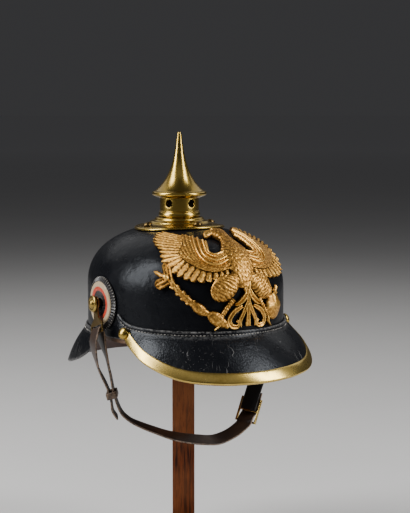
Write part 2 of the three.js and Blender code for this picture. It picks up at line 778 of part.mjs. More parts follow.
/** Brass tab from the side post down to the bar that the strap folds over. */
function strapHook() {
  const post = crownAt(toRadians(SIDE.turn), SIDE.height, HOOK.height);
  const bar = new THREE.Vector3(-HOOK.bar.x, HOOK.bar.y, HOOK.bar.z);
  const down = bar.clone().sub(post);
  const length = down.length();
  const outer = HOOK.slotWidth / 2 + HOOK.border;
  const foot = -length - HOOK.border / 2;
  const slotTop = foot + HOOK.border + HOOK.slotHeight;
  const shape = new THREE.Shape();
  shape.moveTo(-outer, foot);
  shape.lineTo(outer, foot);
  shape.lineTo(outer, slotTop + HOOK.border);
  shape.lineTo(HOOK.neck / 2, slotTop + HOOK.border + HOOK.shoulder);
  const lean = Math.asin(HOOK.neck / 2 / HOOK.eye);
  shape.absarc(0, 0, HOOK.eye, -Math.PI / 2 + lean, 1.5 * Math.PI - lean, false);
  shape.lineTo(-HOOK.neck / 2, slotTop + HOOK.border + HOOK.shoulder);
  shape.lineTo(-outer, slotTop + HOOK.border);
  shape.closePath();
  const bore = new THREE.Path().absarc(0, 0, HOOK.bore, 0, 2 * Math.PI, true);
  const slotMiddle = foot + HOOK.border + HOOK.slotHeight / 2;
  const slot = rectangle(HOOK.slotWidth, HOOK.slotHeight, THREE.Path, 0, slotMiddle);
  shape.holes.push(bore, slot);
  const side = down.clone().cross(new THREE.Vector3(1, 0, 0));
  return plate(shape, HOOK.sheet, 8)
    .translate(0, 0, -HOOK.sheet / 2)
    .applyMatrix4(frameOf(side, down.clone().negate(), post));
}

/** The same geometry on the wearer's left. */
function mirrored(geometry) {
  return outward(geometry.clone().scale(-1, 1, 1));
}

// Strap

/** Centre, run, width and face directions at each station of a strap. */
function strapStations(rows, perRow) {
  const line = new THREE.CatmullRomCurve3(rows.map((row) => new THREE.Vector3(row.x, row.y, row.z)));
  const count = (rows.length - 1) * perRow + 1;
  return Array.from({ length: count }, (_, i) => {
    const t = i / (count - 1);
    const at = t * (rows.length - 1);
    const low = rows[Math.floor(at)];
    const high = rows[Math.ceil(at)];
    const swing = toRadians(lerp(low.swing, high.swing, at % 1));
    const drop = toRadians(lerp(low.drop, high.drop, at % 1));
    const level = Math.cos(drop);
    const run = line.getTangent(t);
    const width = new THREE.Vector3(-Math.sin(swing) * level, -Math.cos(swing) * level, -Math.sin(drop));
    width.addScaledVector(run, -width.dot(run)).normalize();
    return { centre: line.getPoint(t), run, width, face: run.clone().cross(width) };
  });
}

function strap(rows, perRow = 2) {
  const stations = strapStations(rows, perRow);
  const section = rectangle(STRAP.width, STRAP.leather).getPoints().slice(0, 4);
  return loft(section, stations.length, (station, point) => {
    const { centre, width, face } = stations[station];
    return centre.clone().addScaledVector(width, point.x).addScaledVector(face, point.y);
  });
}

/** Leather loop that holds the folded end against the strap. */
function strapSlide() {
  const place = new THREE.Vector3(SLIDE.at.x, SLIDE.at.y, SLIDE.at.z);
  const stations = strapStations(CHIN_STRAP, 1);
  const { width, face } = stations.reduce((best, next) =>
    next.centre.distanceTo(place) < best.centre.distanceTo(place) ? next : best,
  );
  const openWidth = STRAP.width + 4 * GAP;
  const shape = rectangle(openWidth + 2 * SLIDE.leather, SLIDE.inside + 2 * SLIDE.leather);
  shape.holes.push(rectangle(openWidth, SLIDE.inside, THREE.Path));
  return plate(shape, SLIDE.along)
    .translate(0, 0, -SLIDE.along / 2)
    .applyMatrix4(frameOf(width, face, place));
}

/** Frame with a middle bar, on the outer face of the left strap's end. */
function strapBuckle() {
  const { centre, width, run, face } = strapStations(STRAP_LEFT, 1).at(-1);
  const shape = rectangle(BUCKLE.width, BUCKLE.length);
  const openWidth = BUCKLE.width - 2 * BUCKLE.bar;
  const openLength = (BUCKLE.length - 3 * BUCKLE.bar) / 2;
  for (const side of [-1, 1]) {
    const middle = (side * (openLength + BUCKLE.bar)) / 2;
    shape.holes.push(rectangle(openWidth, openLength, THREE.Path, 0, middle));
  }
  const place = centre.clone().addScaledVector(face, -BUCKLE.lift);
  return plate(shape, BUCKLE.sheet)
    .translate(0, 0, -BUCKLE.sheet / 2)
    .applyMatrix4(frameOf(width, run, place));
}

// Eagle plate

/** A raised band along a table of places, widths and heights, on a flat back. */
function reliefBand(rows, outline = ROUND_RELIEF) {
  const section = outline.map(({ across, lift }) => new THREE.Vector2(across, lift));
  return loft(section, rows.length, (station, point) => {
    const row = rows[station];
    const before = rows[Math.max(0, station - 1)];
    const after = rows[Math.min(rows.length - 1, station + 1)];
    const run = new THREE.Vector2(after.x - before.x, after.y - before.y).normalize();
    const across = point.x * row.width;
    return new THREE.Vector3(row.x - run.y * across, row.y + run.x * across, point.y * row.height);
  });
}

const mirrorRows = (rows) => rows.map((row) => ({ ...row, x: -row.x }));
const shiftRows = (rows, shift) => rows.map((row) => ({ ...row, x: row.x + shift }));

/** Point of a wing's named line at a share of the way from the lowest rib to the top one. */
function wingLine(name) {
  const points = WING_RIBS.map((rib) => new THREE.Vector3(...rib[name], 0));
  const curve = new THREE.CatmullRomCurve3(points, false, 'centripetal');
  return (share) => curve.getPoint(share);
}

/** One tier of a wing: a plate from the arm to a scalloped edge, with a ridge on each feather. */
function wingTier({ edge, feathers, height, ridge }) {
  const arm = wingLine('arm');
  const tip = wingLine(edge);
  const shape = new THREE.Shape();
  for (let i = 0; i <= ARM_STEPS; i++) {
    const root = arm(1 - i / ARM_STEPS);
    if (i === 0) shape.moveTo(root.x, root.y);
    else shape.lineTo(root.x, root.y);
  }
  const reach = (share, stretch) => arm(share).lerp(tip(share), stretch);
  for (let i = 0; i < feathers; i++) {
    const scallop = [
      { at: 0, stretch: FEATHER.notch },
      { at: 0.28, stretch: FEATHER.tip },
      { at: 0.72, stretch: FEATHER.tip },
    ];
    for (const { at, stretch } of scallop) {
      const point = reach((i + at) / feathers, stretch);
      shape.lineTo(point.x, point.y);
    }
  }
  const end = reach(1, FEATHER.notch);
  shape.lineTo(end.x, end.y);
  shape.closePath();
  const solids = [plate(shape, height)];
  for (let i = 0; ridge > 0 && i < feathers; i++) {
    const share = (i + 0.5) / feathers;
    const pitch = reach(i / feathers, FEATHER.notch).distanceTo(reach((i + 1) / feathers, FEATHER.notch));
    const row = (stretch) => {
      const { x, y } = reach(share, stretch);
      return { x, y, width: FEATHER.ridgeShare * pitch, height: height + ridge };
    };
    solids.push(reliefBand([row(FEATHER.ridgeFrom), row(FEATHER.ridgeTo)], RIDGE_RELIEF));
  }
  return joined(solids);
}

/** The whole plate, flat on its back. */
function flatEagle() {
  const wing = WING_TIERS.map(wingTier).reduce((whole, next) => whole.add(next));
  const otherWing = toSolid(mirrored(toGeometry(wing)));
  const thigh = shiftRows(THIGH, THIGH_SHIFT);
  const otherThigh = shiftRows(mirrorRows(THIGH), THIGH_SHIFT);
  const tail = [TAIL_STALK, TAIL_SCROLL, TAIL_CURL, mirrorRows(TAIL_SCROLL), mirrorRows(TAIL_CURL)];
  const bands = [
    BODY,
    BEAK,
    thigh,
    otherThigh,
    LEG,
    mirrorRows(LEG),
    ...tail.map((rows) => shiftRows(rows, TAIL_SHIFT)),
    SCEPTRE,
    ...FINIAL_ARMS,
    ORB,
    ...ORB_CROSS,
  ];
  return joined(bands.map((rows) => reliefBand(rows))).add(wing).add(otherWing);
}

function eaglePlate() {
  const fine = new TessellateModifier(PLATE.longestEdge, PLATE.passes).modify(toGeometry(flatEagle()));
  return reshape(outward(fine), (p) => {
    const turn = -p.x / (CROWN.plateRadius * meridian(p.y).share);
    p.copy(crownAt(turn, p.y, PLATE.gap + p.z));
  });
}

// Assembly

const pickelhaube = new THREE.Group();
const helmet = new THREE.Group();
helmet.position.z = SEAM_HEIGHT;
const spikeSeat = new THREE.Group();
spikeSeat.position.set(0, CROWN.topCentreY, CROWN_TOP);
const stand = new THREE.Group();
stand.rotation.z = toRadians(STAND.turn);
helmet.add(spikeSeat);
pickelhaube.add(helmet, stand);

function addPiece(parent, name, geometry, material) {
  const mesh = new THREE.Mesh(geometry, material);
  mesh.name = name;
  parent.add(mesh);
  return mesh;
}

const UP = new THREE.Vector3(0, 0, 1);

addPiece(helmet, 'crown_shell', crownShell(), BLACK_LEATHER);
addPiece(helmet, 'front_visor', visor(FRONT_VISOR, 0, VISOR.frontHalf), BLACK_LEATHER);
addPiece(helmet, 'rear_visor', visor(REAR_VISOR, 180, VISOR.rearHalf), BLACK_LEATHER);
addPiece(helmet, 'visor_trim', visorTrim(), BRASS);
addPiece(helmet, 'rear_spine', rearSpine(), BRASS);
addPiece(helmet, 'sweatband', sweatband(), BROWN_LEATHER);
addPiece(helmet, 'eagle_plate', eaglePlate(), GILT);

addPiece(spikeSeat, 'spike', turned(SPIKE, SIDES.spike), BRASS);
addPiece(spikeSeat, 'spike_neck', spikeNeck(), BRASS);
addPiece(spikeSeat, 'spike_base', spikeBase(), BRASS);

['front', 'right', 'rear', 'left'].forEach((side, quarter) => {
  const turn = (quarter * Math.PI) / 2;
  const x = -BASE_STUD.distance * Math.sin(turn);
  const y = CROWN.topCentreY - BASE_STUD.distance * Math.cos(turn);
  const z = crownHeight(x, y);
  const slopeX = crownHeight(x + 1, y) - z;
  const slopeY = crownHeight(x, y + 1) - z;
  const normal = new THREE.Vector3(-slopeX, -slopeY, 1).normalize();
  const mesh = addPiece(helmet, `base_stud_${side}`, stud(BASE_STUD.radius, BASE_STUD.rise), BRASS);
  mesh.position.set(x, y, z).addScaledVector(normal, BASE_STUD.seat);
  mesh.quaternion.setFromUnitVectors(UP, normal);
});

const FITTINGS = [
  { name: 'cockade', geometry: cockade(), material: ENAMEL },
  { name: 'side_post', geometry: sidePost(), material: BRASS },
  { name: 'strap_hook', geometry: strapHook(), material: BRASS },
];
for (const { name, geometry, material } of FITTINGS) {
  addPiece(helmet, `${name}_right`, geometry, material);
  addPiece(helmet, `${name}_left`, mirrored(geometry), material);
}

for (const [side, sign] of [['right', 1], ['left', -1]]) {
  const turn = toRadians(sign * TRIM_STUD.turn);
  const { edge, back, over, width } = lipFrame(TRIM_STUD.turn);
  const lift = GAP + TRIM.sheet + TRIM_STUD.seat;
  const seat = edge.clone().addScaledVector(back, width / 2).addScaledVector(over, lift);
  const normal = new THREE.Vector3(-Math.sin(turn) * over.x, -Math.cos(turn) * over.x, over.y);
  const mesh = addPiece(helmet, `trim_stud_${side}`, stud(TRIM_STUD.radius, TRIM_STUD.rise), BRASS);
  mesh.position.copy(rimPoint(turn, seat.x, seat.y));
  mesh.quaternion.setFromUnitVectors(UP, normal);
}

addPiece(helmet, 'chin_strap', strap(CHIN_STRAP), BROWN_LEATHER);
addPiece(helmet, 'strap_left', strap(STRAP_LEFT), BLACK_LEATHER);
addPiece(helmet, 'strap_slide', strapSlide(), BROWN_LEATHER);
addPiece(helmet, 'strap_buckle', strapBuckle(), BRASS);

const postTop = SEAM_HEIGHT + CROWN_TOP - CROWN.leather - STAND.headroom;
const postFoot = STAND.footHeight + GAP;
const post = new THREE.BoxGeometry(STAND.post, STAND.post, postTop - postFoot);
post.translate(0, 0, (postTop + postFoot) / 2);
const foot = new THREE.BoxGeometry(STAND.foot, STAND.foot, STAND.footHeight);
foot.translate(0, 0, STAND.footHeight / 2);
addPiece(stand, 'stand_post', post, WOOD);
addPiece(stand, 'stand_base', foot, WOOD);

export default pickelhaube;
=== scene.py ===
"""Looks of a pickelhaube on its wooden post stand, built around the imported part.

Sizes are in millimetres in the part's own frame: +Z is up, the helmet faces -Y and the
wearer's right is -X. Heights on the helmet are measured from the front visor's seam.
A turn is an angle about the crown from the front, positive to the wearer's right.
"""

import logging
import math
from bisect import bisect_left
from dataclasses import dataclass, field
from enum import Enum
from functools import lru_cache
from typing import Callable, Sequence

import bmesh
import bpy
from mathutils import Matrix, Vector, noise


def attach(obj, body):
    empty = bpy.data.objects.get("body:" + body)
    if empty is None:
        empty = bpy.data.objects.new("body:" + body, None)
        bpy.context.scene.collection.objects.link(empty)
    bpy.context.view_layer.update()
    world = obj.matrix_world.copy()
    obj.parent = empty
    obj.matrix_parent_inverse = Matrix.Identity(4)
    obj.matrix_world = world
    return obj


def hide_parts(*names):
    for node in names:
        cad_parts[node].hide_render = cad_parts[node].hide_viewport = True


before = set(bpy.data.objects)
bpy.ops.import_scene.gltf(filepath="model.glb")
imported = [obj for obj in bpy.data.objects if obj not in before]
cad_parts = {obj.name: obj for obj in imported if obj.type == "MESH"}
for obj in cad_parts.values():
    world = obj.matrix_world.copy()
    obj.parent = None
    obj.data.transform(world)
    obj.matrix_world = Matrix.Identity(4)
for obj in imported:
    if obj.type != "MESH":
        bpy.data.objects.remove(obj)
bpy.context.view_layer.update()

LOG = logging.getLogger("pickelhaube")
MM = 0.001
SEAM = 240.0
GAP = 0.3
WELD = 0.003

Row = tuple[float, ...]
Colour = tuple[float, float, float]
Spot = tuple[Vector, float]
Place = Callable[[float, float], Spot]
Socket = bpy.types.NodeSocket
Verts = list[bmesh.types.BMVert]


class Slot(Enum):
    """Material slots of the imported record."""

    BLACK_LEATHER = "black_leather"
    BROWN_LEATHER = "brown_leather"
    BRASS = "brass"
    GILT = "gilt"
    ENAMEL = "enamel"
    WOOD = "wood"


class Side(Enum):
    """Sides of the wearer, with the sign of a turn towards each."""

    RIGHT = 1
    LEFT = -1

    @property
    def label(self) -> str:
        """The side's name in the names of nodes."""
        return self.name.lower()


class Relief(Enum):
    """Cross sections of a raised band."""

    ROUND = "round"
    GROOVED = "grooved"
    RIDGED = "ridged"


# Curves and tables


def ease(low: float, high: float, x: float) -> float:
    """Rise smoothly from 0 at low to 1 at high."""
    t = min(1.0, max(0.0, (x - low) / (high - low)))
    return t * t * (3.0 - 2.0 * t)


def mix(a: float, b: float, t: float) -> float:
    """Value at a share t of the way from a to b."""
    return a + (b - a) * t


def wobble(point: Vector, pitch: float, seed: float = 0.0) -> float:
    """Gentle unevenness from -1 to 1 at a point, in waves of a pitch in millimetres."""
    return noise.noise(point / pitch + Vector((seed, -seed, 2.0 * seed)))


def rounded(rows: Sequence[Row], radius: float, steps: int = 3) -> list[Row]:
    """Round the corners of a profile.

    Args:
        rows: radius and height of each corner.
        radius: how far from a corner its rounding starts.
        steps: points on each rounding beyond the first.

    Returns:
        Radius and height of each point of the softer profile.
    """
    soft: list[Row] = [tuple(rows[0])]
    for before, corner, after in zip(rows, rows[1:], rows[2:]):
        a, b, c = (Vector(row[:2]) for row in (before, corner, after))
        start = b + (a - b).normalized() * min(radius, 0.45 * (a - b).length)
        end = b + (c - b).normalized() * min(radius, 0.45 * (c - b).length)
        for step in range(steps + 1):
            t = step / steps
            point = start * (1 - t) ** 2 + b * 2 * t * (1 - t) + end * t * t
            soft.append((point.x, point.y))
    soft.append(tuple(rows[-1]))
    return soft


def rounded_ring(rows: Sequence[Row], radius: float, steps: int = 3) -> list[Row]:
    """Round the corners of a closed profile, which starts in the middle of a side."""
    return rounded([*rows, rows[0]], radius, steps)[:-1]


class Course:
    """A smooth curve through the rows of a table.

    The first columns of a row are its place and set the curve's pace; the others go along.
    """

    def __init__(self, rows: Sequence[Row], space: int = 2) -> None:
        """Keep the rows and the number of columns that give a place."""
        self.rows = [tuple(map(float, row)) for row in rows]
        self.space = space

    def pace(self, a: Row, b: Row) -> float:
        """Root of the distance between two rows."""
        return max(1e-3, math.dist(a[: self.space], b[: self.space]) ** 0.5)

    def at(self, share: float) -> Row:
        """Read the curve.

        Args:
            share: from 0 at the first row to 1 at the last.

        Returns:
            The columns at that share.
        """
        last = len(self.rows) - 1
        place = min(max(share, 0.0), 1.0) * last
        i = min(int(place), last - 1)
        t = place - i
        b, c = self.rows[i], self.rows[i + 1]
        a = self.rows[i - 1] if i else tuple(2 * p - q for p, q in zip(b, c))
        d = self.rows[i + 2] if i + 2 <= last else tuple(2 * q - p for p, q in zip(b, c))
        ab, bc, cd = self.pace(a, b), self.pace(b, c), self.pace(c, d)
        values = []
        for p, q, r, s in zip(a, b, c, d):
            start = ((q - p) / ab - (r - p) / (ab + bc) + (r - q) / bc) * bc
            end = ((r - q) / bc - (s - q) / (bc + cd) + (s - r) / cd) * bc
            square = 3 * (r - q) - 2 * start - end
            values.append(q + start * t + square * t**2 + (2 * (q - r) + start + end) * t**3)
        return tuple(values)

    def vector(self, share: float) -> Vector:
        """Place on the curve at a share of its rows."""
        return Vector(self.at(share)[: self.space])

    def heading(self, share: float) -> Vector:
        """Direction of the curve at a share of its rows."""
        return (self.vector(share + 0.004) - self.vector(share - 0.004)).normalized()

    def points(self, per_row: int) -> list[Row]:
        """Rows of the curve at even shares, a number to each row of the table."""
        count = (len(self.rows) - 1) * per_row
        return [self.at(i / count) for i in range(count + 1)]


class Table:
    """Rows read between their keys by a smooth curve that starts level."""

    def __init__(self, rows: Sequence[Row]) -> None:
        """Keep rows whose first column is the key."""
        self.rows = rows

    def slope(self, row: int, column: int) -> float:
        """Slope of a column at a row, level at the first.

        Args:
            row: number of the row.
            column: number of the column.

        Returns:
            Change of the column by the key.
        """
        if row == 0:
            return 0.0
        a, b = self.rows[row - 1], self.rows[min(row + 1, len(self.rows) - 1)]
        return (b[column] - a[column]) / (b[0] - a[0])

    def read(self, column: int, key: float) -> float:
        """Value of a column at a key.

        Args:
            column: number of the column.
            key: a value of the first column.

        Returns:
            The value there.
        """
        keys = [row[0] for row in self.rows]
        i = min(max(bisect_left(keys, key) - 1, 0), len(keys) - 2)
        span = keys[i + 1] - keys[i]
        t = min(max((key - keys[i]) / span, 0.0), 1.0)
        a, b = self.rows[i][column], self.rows[i + 1][column]
        start = a * (1 + 2 * t) * (1 - t) ** 2 + self.slope(i, column) * span * t * (1 - t) ** 2
        return start + b * t**2 * (3 - 2 * t) + self.slope(i + 1, column) * span * t**2 * (t - 1)


@dataclass(frozen=True)
class CrownForm:
    """The crown's outer skin: an oval plan, a straight wall and a rounded cap."""

    half_width: float = 92.0
    half_length: float = 112.0
    rim: float = -9.0
    wall_top: float = 35.0
    cap_height: float = 60.0
    cap_power: float = 2.3
    leather: float = 2.5
    rim_centre: float = -2.5
    top_centre: float = 7.5
    plate_radius: float = 103.0
    nominal: float = 100.0

    @property
    def top(self) -> float:
        """Height of the crown's top."""
        return self.wall_top + self.cap_height

    def centre(self, share: float) -> float:
        """Middle of the plan at a share of its full size."""
        return mix(self.top_centre, self.rim_centre, share)

    def cap(self, angle: float, inset: float = 0.0) -> tuple[float, float]:
        """Plan share and height of the cap's curve at an angle up from its wall.

        Args:
            angle: from 0 at the wall to a quarter turn at the top.
            inset: how much lower the cap is.

        Returns:
            Share of the full plan, and height.
        """
        power = 2.0 / self.cap_power
        rise = (self.cap_height - inset) * math.sin(angle) ** power
        return max(0.0, math.cos(angle)) ** power, self.wall_top + rise

    def meridian(self, up: float) -> tuple[float, float]:
        """Plan share and height at an arc length above the seam.

        Args:
            up: arc length above the seam.

        Returns:
            Share of the full plan, and height.
        """
        if up <= self.wall_top:
            return 1.0, up
        ups, rows = meridian_rows(self)
        i = min(max(bisect_left(ups, up), 1), len(ups) - 1)
        t = (up - ups[i - 1]) / (ups[i] - ups[i - 1])
        return mix(rows[i - 1][0], rows[i][0], t), mix(rows[i - 1][1], rows[i][1], t)

    def skin(self, turn: float, up: float) -> Vector:
        """Point of the outer skin at a turn and an arc length up.

        Args:
            turn: angle about the crown.
            up: arc length above the seam.

        Returns:
            The point.
        """
        share, height = self.meridian(up)
        x = -self.half_width * share * math.sin(turn)
        return Vector((x, self.centre(share) - self.half_length * share * math.cos(turn), height))

    def at(self, turn: float, up: float, out: float) -> Vector:
        """Point at a distance out of the skin.

        Args:
            turn: angle about the crown.
            up: arc length above the seam.
            out: the distance.

        Returns:
            The point.
        """
        foot = self.skin(turn, up)
        along = self.skin(turn + 0.01, up) - foot
        rising = self.skin(turn, up + 0.5) - foot
        return foot + rising.cross(along).normalized() * out

    def height(self, x: float, y: float) -> float:
        """Height of the cap over a point of the plan.

        Args:
            x: place to the wearer's left.
            y: place to the back.

        Returns:
            Height above the seam.
        """
        share = 0.0
        for _ in range(8):
            share = min(1.0, math.hypot(x / self.half_width, (y - self.centre(share)) / self.half_length))
        return self.wall_top + self.cap_height * (1 - share**self.cap_power) ** (1 / self.cap_power)

    def rim_point(self, turn: float, reach: float, height: float) -> Vector:
        """Point at a reach outside the rim's oval.

        Args:
            turn: angle about the crown.
            reach: distance out of the oval.
            height: height above the seam.

        Returns:
            The point.
        """
        x = -(self.half_width + reach) * math.sin(turn)
        y = self.rim_centre - (self.half_length + reach) * math.cos(turn)
        return Vector((x, y, height))

    def drawn_out(self, point: Vector) -> Vector:
        """A point of a round shell carried to the oval plan.

        Args:
            point: a point of the round shell.

        Returns:
            The point on the oval.
        """
        share = math.hypot(point.x, point.y) / self.nominal
        centre = self.centre(share) if point.z > self.wall_top else self.rim_centre
        y = centre + point.y * self.half_length / self.nominal
        return Vector((point.x * self.half_width / self.nominal, y, point.z))


@lru_cache(maxsize=None)
def meridian_rows(form: CrownForm) -> tuple[list[float], list[tuple[float, float]]]:
    """Measure the cap's curve.

    Args:
        form: the crown.

    Returns:
        Arc lengths above the seam, and the plan share and height at each.
    """
    steps = 240
    ups, rows = [form.wall_top], [(1.0, form.wall_top)]
    for i in range(1, steps + 1):
        share, height = form.cap(i / steps * math.pi / 2)
        run = math.hypot((rows[-1][0] - share) * form.plate_radius, height - rows[-1][1])
        ups.append(ups[-1] + run)
        rows.append((share, height))
    return ups, rows


CROWN = CrownForm()


# Materials


class Graph:
    """Short calls that make and join the nodes of one tree."""

    def __init__(self, tree: bpy.types.NodeTree) -> None:
        """Work on a tree."""
        self.tree = tree

    def add(self, kind: str, inputs: dict | None = None, **settings: object) -> bpy.types.Node:
        """Make a node.

        Args:
            kind: the node's type.
            inputs: a value or an output to join, by the input's name or number.
            settings: properties of the node.

        Returns:
            The node.
        """
        node = self.tree.nodes.new(kind)
        for key, value in settings.items():
            setattr(node, key, value)
        for key, value in (inputs or {}).items():
            self.put(node.inputs[key], value)
        return node

    def put(self, socket: Socket, value: object) -> None:
        """Join an output to an input, or set the input's own value.

        Args:
            socket: the input.
            value: an output to join, or a value.
        """
        if isinstance(value, Socket):
            self.tree.links.new(value, socket)
        else:
            socket.default_value = value

    def effect(self, tree: bpy.types.NodeTree, place: Socket, **values: float) -> bpy.types.Node:
        """Set a shared effect at a place, with its own values."""
        return self.add("ShaderNodeGroup", {"Vector": place, **values}, node_tree=tree)

    def noise(self, place: Socket, scale: object, detail: float = 3.0, rough: float = 0.55) -> Socket:
        """Cloudy value at a place."""
        inputs = {"Vector": place, "Scale": scale, "Detail": detail, "Roughness": rough}
        return self.add("ShaderNodeTexNoise", inputs).outputs[0]

    def cells(self, place: Socket, scale: object, feature: str = "F1") -> Socket:
        """Distance in a pattern of cells."""
        inputs = {"Vector": place, "Scale": scale}
        return self.add("ShaderNodeTexVoronoi", inputs, feature=feature).outputs["Distance"]

    def sum(self, operation: str, a: object, b: object = 0.0) -> Socket:
        """Result of a Math node."""
        return self.add("ShaderNodeMath", {0: a, 1: b}, operation=operation).outputs[0]

    def scaled(self, value: Socket, factor: float, start: float) -> Socket:
        """Value times a factor, added to a start."""
        inputs = {0: value, 1: factor, 2: start}
        return self.add("ShaderNodeMath", inputs, operation="MULTIPLY_ADD").outputs[0]

    def span(self, value: Socket, low: float, high: float, start: float = 0.0, end: float = 1.0) -> Socket:
        """Value carried from one range to another and kept inside it."""
        inputs = {0: value, 1: low, 2: high, 3: start, 4: end}
        return self.add("ShaderNodeMapRange", inputs).outputs[0]

    def blend(self, share: object, a: object, b: object) -> Socket:
        """Colour at a share of the way from a to b."""
        a, b = (c if isinstance(c, Socket) else (*c, 1.0) for c in (a, b))
        return self.add("ShaderNodeMix", {0: share, 6: a, 7: b}, data_type="RGBA").outputs[2]

    def ramp(self, value: Socket, stops: Sequence[tuple[float, Colour]], mode: str = "LINEAR") -> Socket:
        """Colour from a row of stops.

        Args:
            value: where to read the ramp.
            stops: place and colour of each stop.
            mode: how it runs between stops.

        Returns:
            The colour.
        """
        node = self.add("ShaderNodeValToRGB", {0: value})
        node.color_ramp.interpolation = mode
        while len(node.color_ramp.elements) < len(stops):
            node.color_ramp.elements.new(1.0)
        for element, (position, colour) in zip(node.color_ramp.elements, stops):
            element.position = position
            element.color = (*colour, 1.0)
        return node.outputs[0]

    def stretch(self, place: Socket, scale: Row, turn: Row = (0.0, 0.0, 0.0)) -> Socket:
        """Place turned and scaled along its axes."""
        return self.add("ShaderNodeMapping", {0: place, 2: turn, 3: scale}).outputs[0]

    def bump(self, height: Socket, strength: float, depth: float, normal: Socket | None = None) -> Socket:
        """Normal of a surface raised by a height, with its depth in millimetres.

        Args:
            height: the height.
            strength: share of the effect.
            depth: its depth.
            normal: a normal to start from.

        Returns:
            The new normal.
        """
        inputs = {"Height": height, "Strength": strength, "Distance": depth * MM}
        if normal is not None:
            inputs["Normal"] = normal
        return self.add("ShaderNodeBump", inputs).outputs[0]

    def place(self) -> Socket:
        """Object coordinates."""
        return self.add("ShaderNodeTexCoord").outputs["Object"]

    def attribute(self, name: str) -> Socket:
        """Value of a piece's own attribute."""
        return self.add("ShaderNodeAttribute", attribute_name=name).outputs["Fac"]


class Effect:
    """Shader node groups that more than one finish uses, each built once."""

    @staticmethod
    def begin(name: str, inputs: Sequence[str], outputs: Sequence[str]) -> tuple[Graph, dict, bpy.types.Node]:
        """Open a new group.

        Args:
            name: the group's name.
            inputs: names of the values that follow its place.
            outputs: names of the values it puts out.

        Returns:
            The group's graph, its inputs by name, and its output node.
        """
        tree = bpy.data.node_groups.new(name, "ShaderNodeTree")
        tree.interface.new_socket("Vector", in_out="INPUT", socket_type="NodeSocketVector")
        for label in inputs:
            tree.interface.new_socket(label, in_out="INPUT", socket_type="NodeSocketFloat")
        for label in outputs:
            tree.interface.new_socket(label, in_out="OUTPUT", socket_type="NodeSocketFloat")
        graph = Graph(tree)
        source = graph.add("NodeGroupInput")
        return graph, {s.name: s for s in source.outputs if s.name}, graph.add("NodeGroupOutput")

    @staticmethod
    @lru_cache(maxsize=None)
    def grain() -> bpy.types.NodeTree:
        """Pebbled leather grain with fine pores.

        Returns:
            The group.
        """
        graph, given, out = Effect.begin("leather_grain", ["Scale"], ["Height"])
        warped = graph.noise(given["Vector"], 260.0, 2.0)
        pebbles = graph.cells(given["Vector"], given["Scale"], "SMOOTH_F1")
        fine = graph.noise(given["Vector"], graph.sum("MULTIPLY", given["Scale"], 2.3), 3.0)
        height = graph.scaled(pebbles, -0.8, 0.7)
        rough = graph.sum("ADD", height, graph.sum("MULTIPLY", fine, 0.45))
        graph.put(out.inputs["Height"], graph.sum("ADD", rough, graph.sum("MULTIPLY", warped, 0.35)))
        return graph.tree

    @staticmethod
    @lru_cache(maxsize=None)
    def scuffs() -> bpy.types.NodeTree:
        """Thin scratches in patches, running two ways.

        Returns:
            The group.
        """
        graph, given, out = Effect.begin("scuffs", ["Scale", "Amount"], ["Mask"])
        lines = []
        for turn, scale in (((0.5, 0.3, 0.9), (1.0, 0.02, 1.0)), ((-0.7, 0.9, -0.4), (0.025, 1.0, 1.0))):
            streaks = graph.noise(graph.stretch(given["Vector"], scale, turn), given["Scale"], 2.0)
            lines.append(graph.span(streaks, 0.68, 0.74))
        both = graph.sum("MAXIMUM", *lines)
        patches = graph.span(graph.noise(given["Vector"], 34.0, 3.0), 0.46, 0.68)
        kept = graph.sum("MULTIPLY", both, patches)
        graph.put(out.inputs["Mask"], graph.sum("MULTIPLY", kept, given["Amount"]))
        return graph.tree

    @staticmethod
    @lru_cache(maxsize=None)
    def cracks() -> bpy.types.NodeTree:
        """Hairline cracks that run from the crown's axis outwards and down.

        Returns:
            The group.
        """
        graph, given, out = Effect.begin("cracks", ["Amount"], ["Mask"])
        parts = graph.add("ShaderNodeSeparateXYZ", {0: given["Vector"]}).outputs
        turn = graph.sum("ARCTAN2", parts[0], graph.sum("MULTIPLY", parts[1], -1.0))
        sway = graph.sum("MULTIPLY", graph.noise(given["Vector"], 60.0, 2.0), 0.12)
        around = graph.sum("MULTIPLY", graph.sum("ADD", turn, sway), 0.13)
        down = graph.sum("MULTIPLY", parts[2], 0.05)
        drawn = graph.add("ShaderNodeCombineXYZ", {0: around, 1: down}).outputs[0]
        lines = graph.span(graph.noise(drawn, 900.0, 2.0), 0.66, 0.71)
        patches = graph.span(graph.noise(given["Vector"], 26.0, 2.0), 0.4, 0.62)
        kept = graph.sum("MULTIPLY", lines, patches)
        graph.put(out.inputs["Mask"], graph.sum("MULTIPLY", kept, given["Amount"]))
        return graph.tree

    @staticmethod
    @lru_cache(maxsize=None)
    def mottle() -> bpy.types.NodeTree:
        """Soft blotches such as handling and tarnish leave.

        Returns:
            The group.
        """
        graph, given, out = Effect.begin("mottle", ["Scale"], ["Mask", "Fine"])
        soft = graph.noise(given["Vector"], given["Scale"], 5.0, 0.62)
        fine = graph.noise(given["Vector"], graph.sum("MULTIPLY", given["Scale"], 9.0), 4.0, 0.6)
        graph.put(out.inputs["Mask"], graph.span(soft, 0.32, 0.7))
        graph.put(out.inputs["Fine"], graph.span(fine, 0.3, 0.72))
        return graph.tree


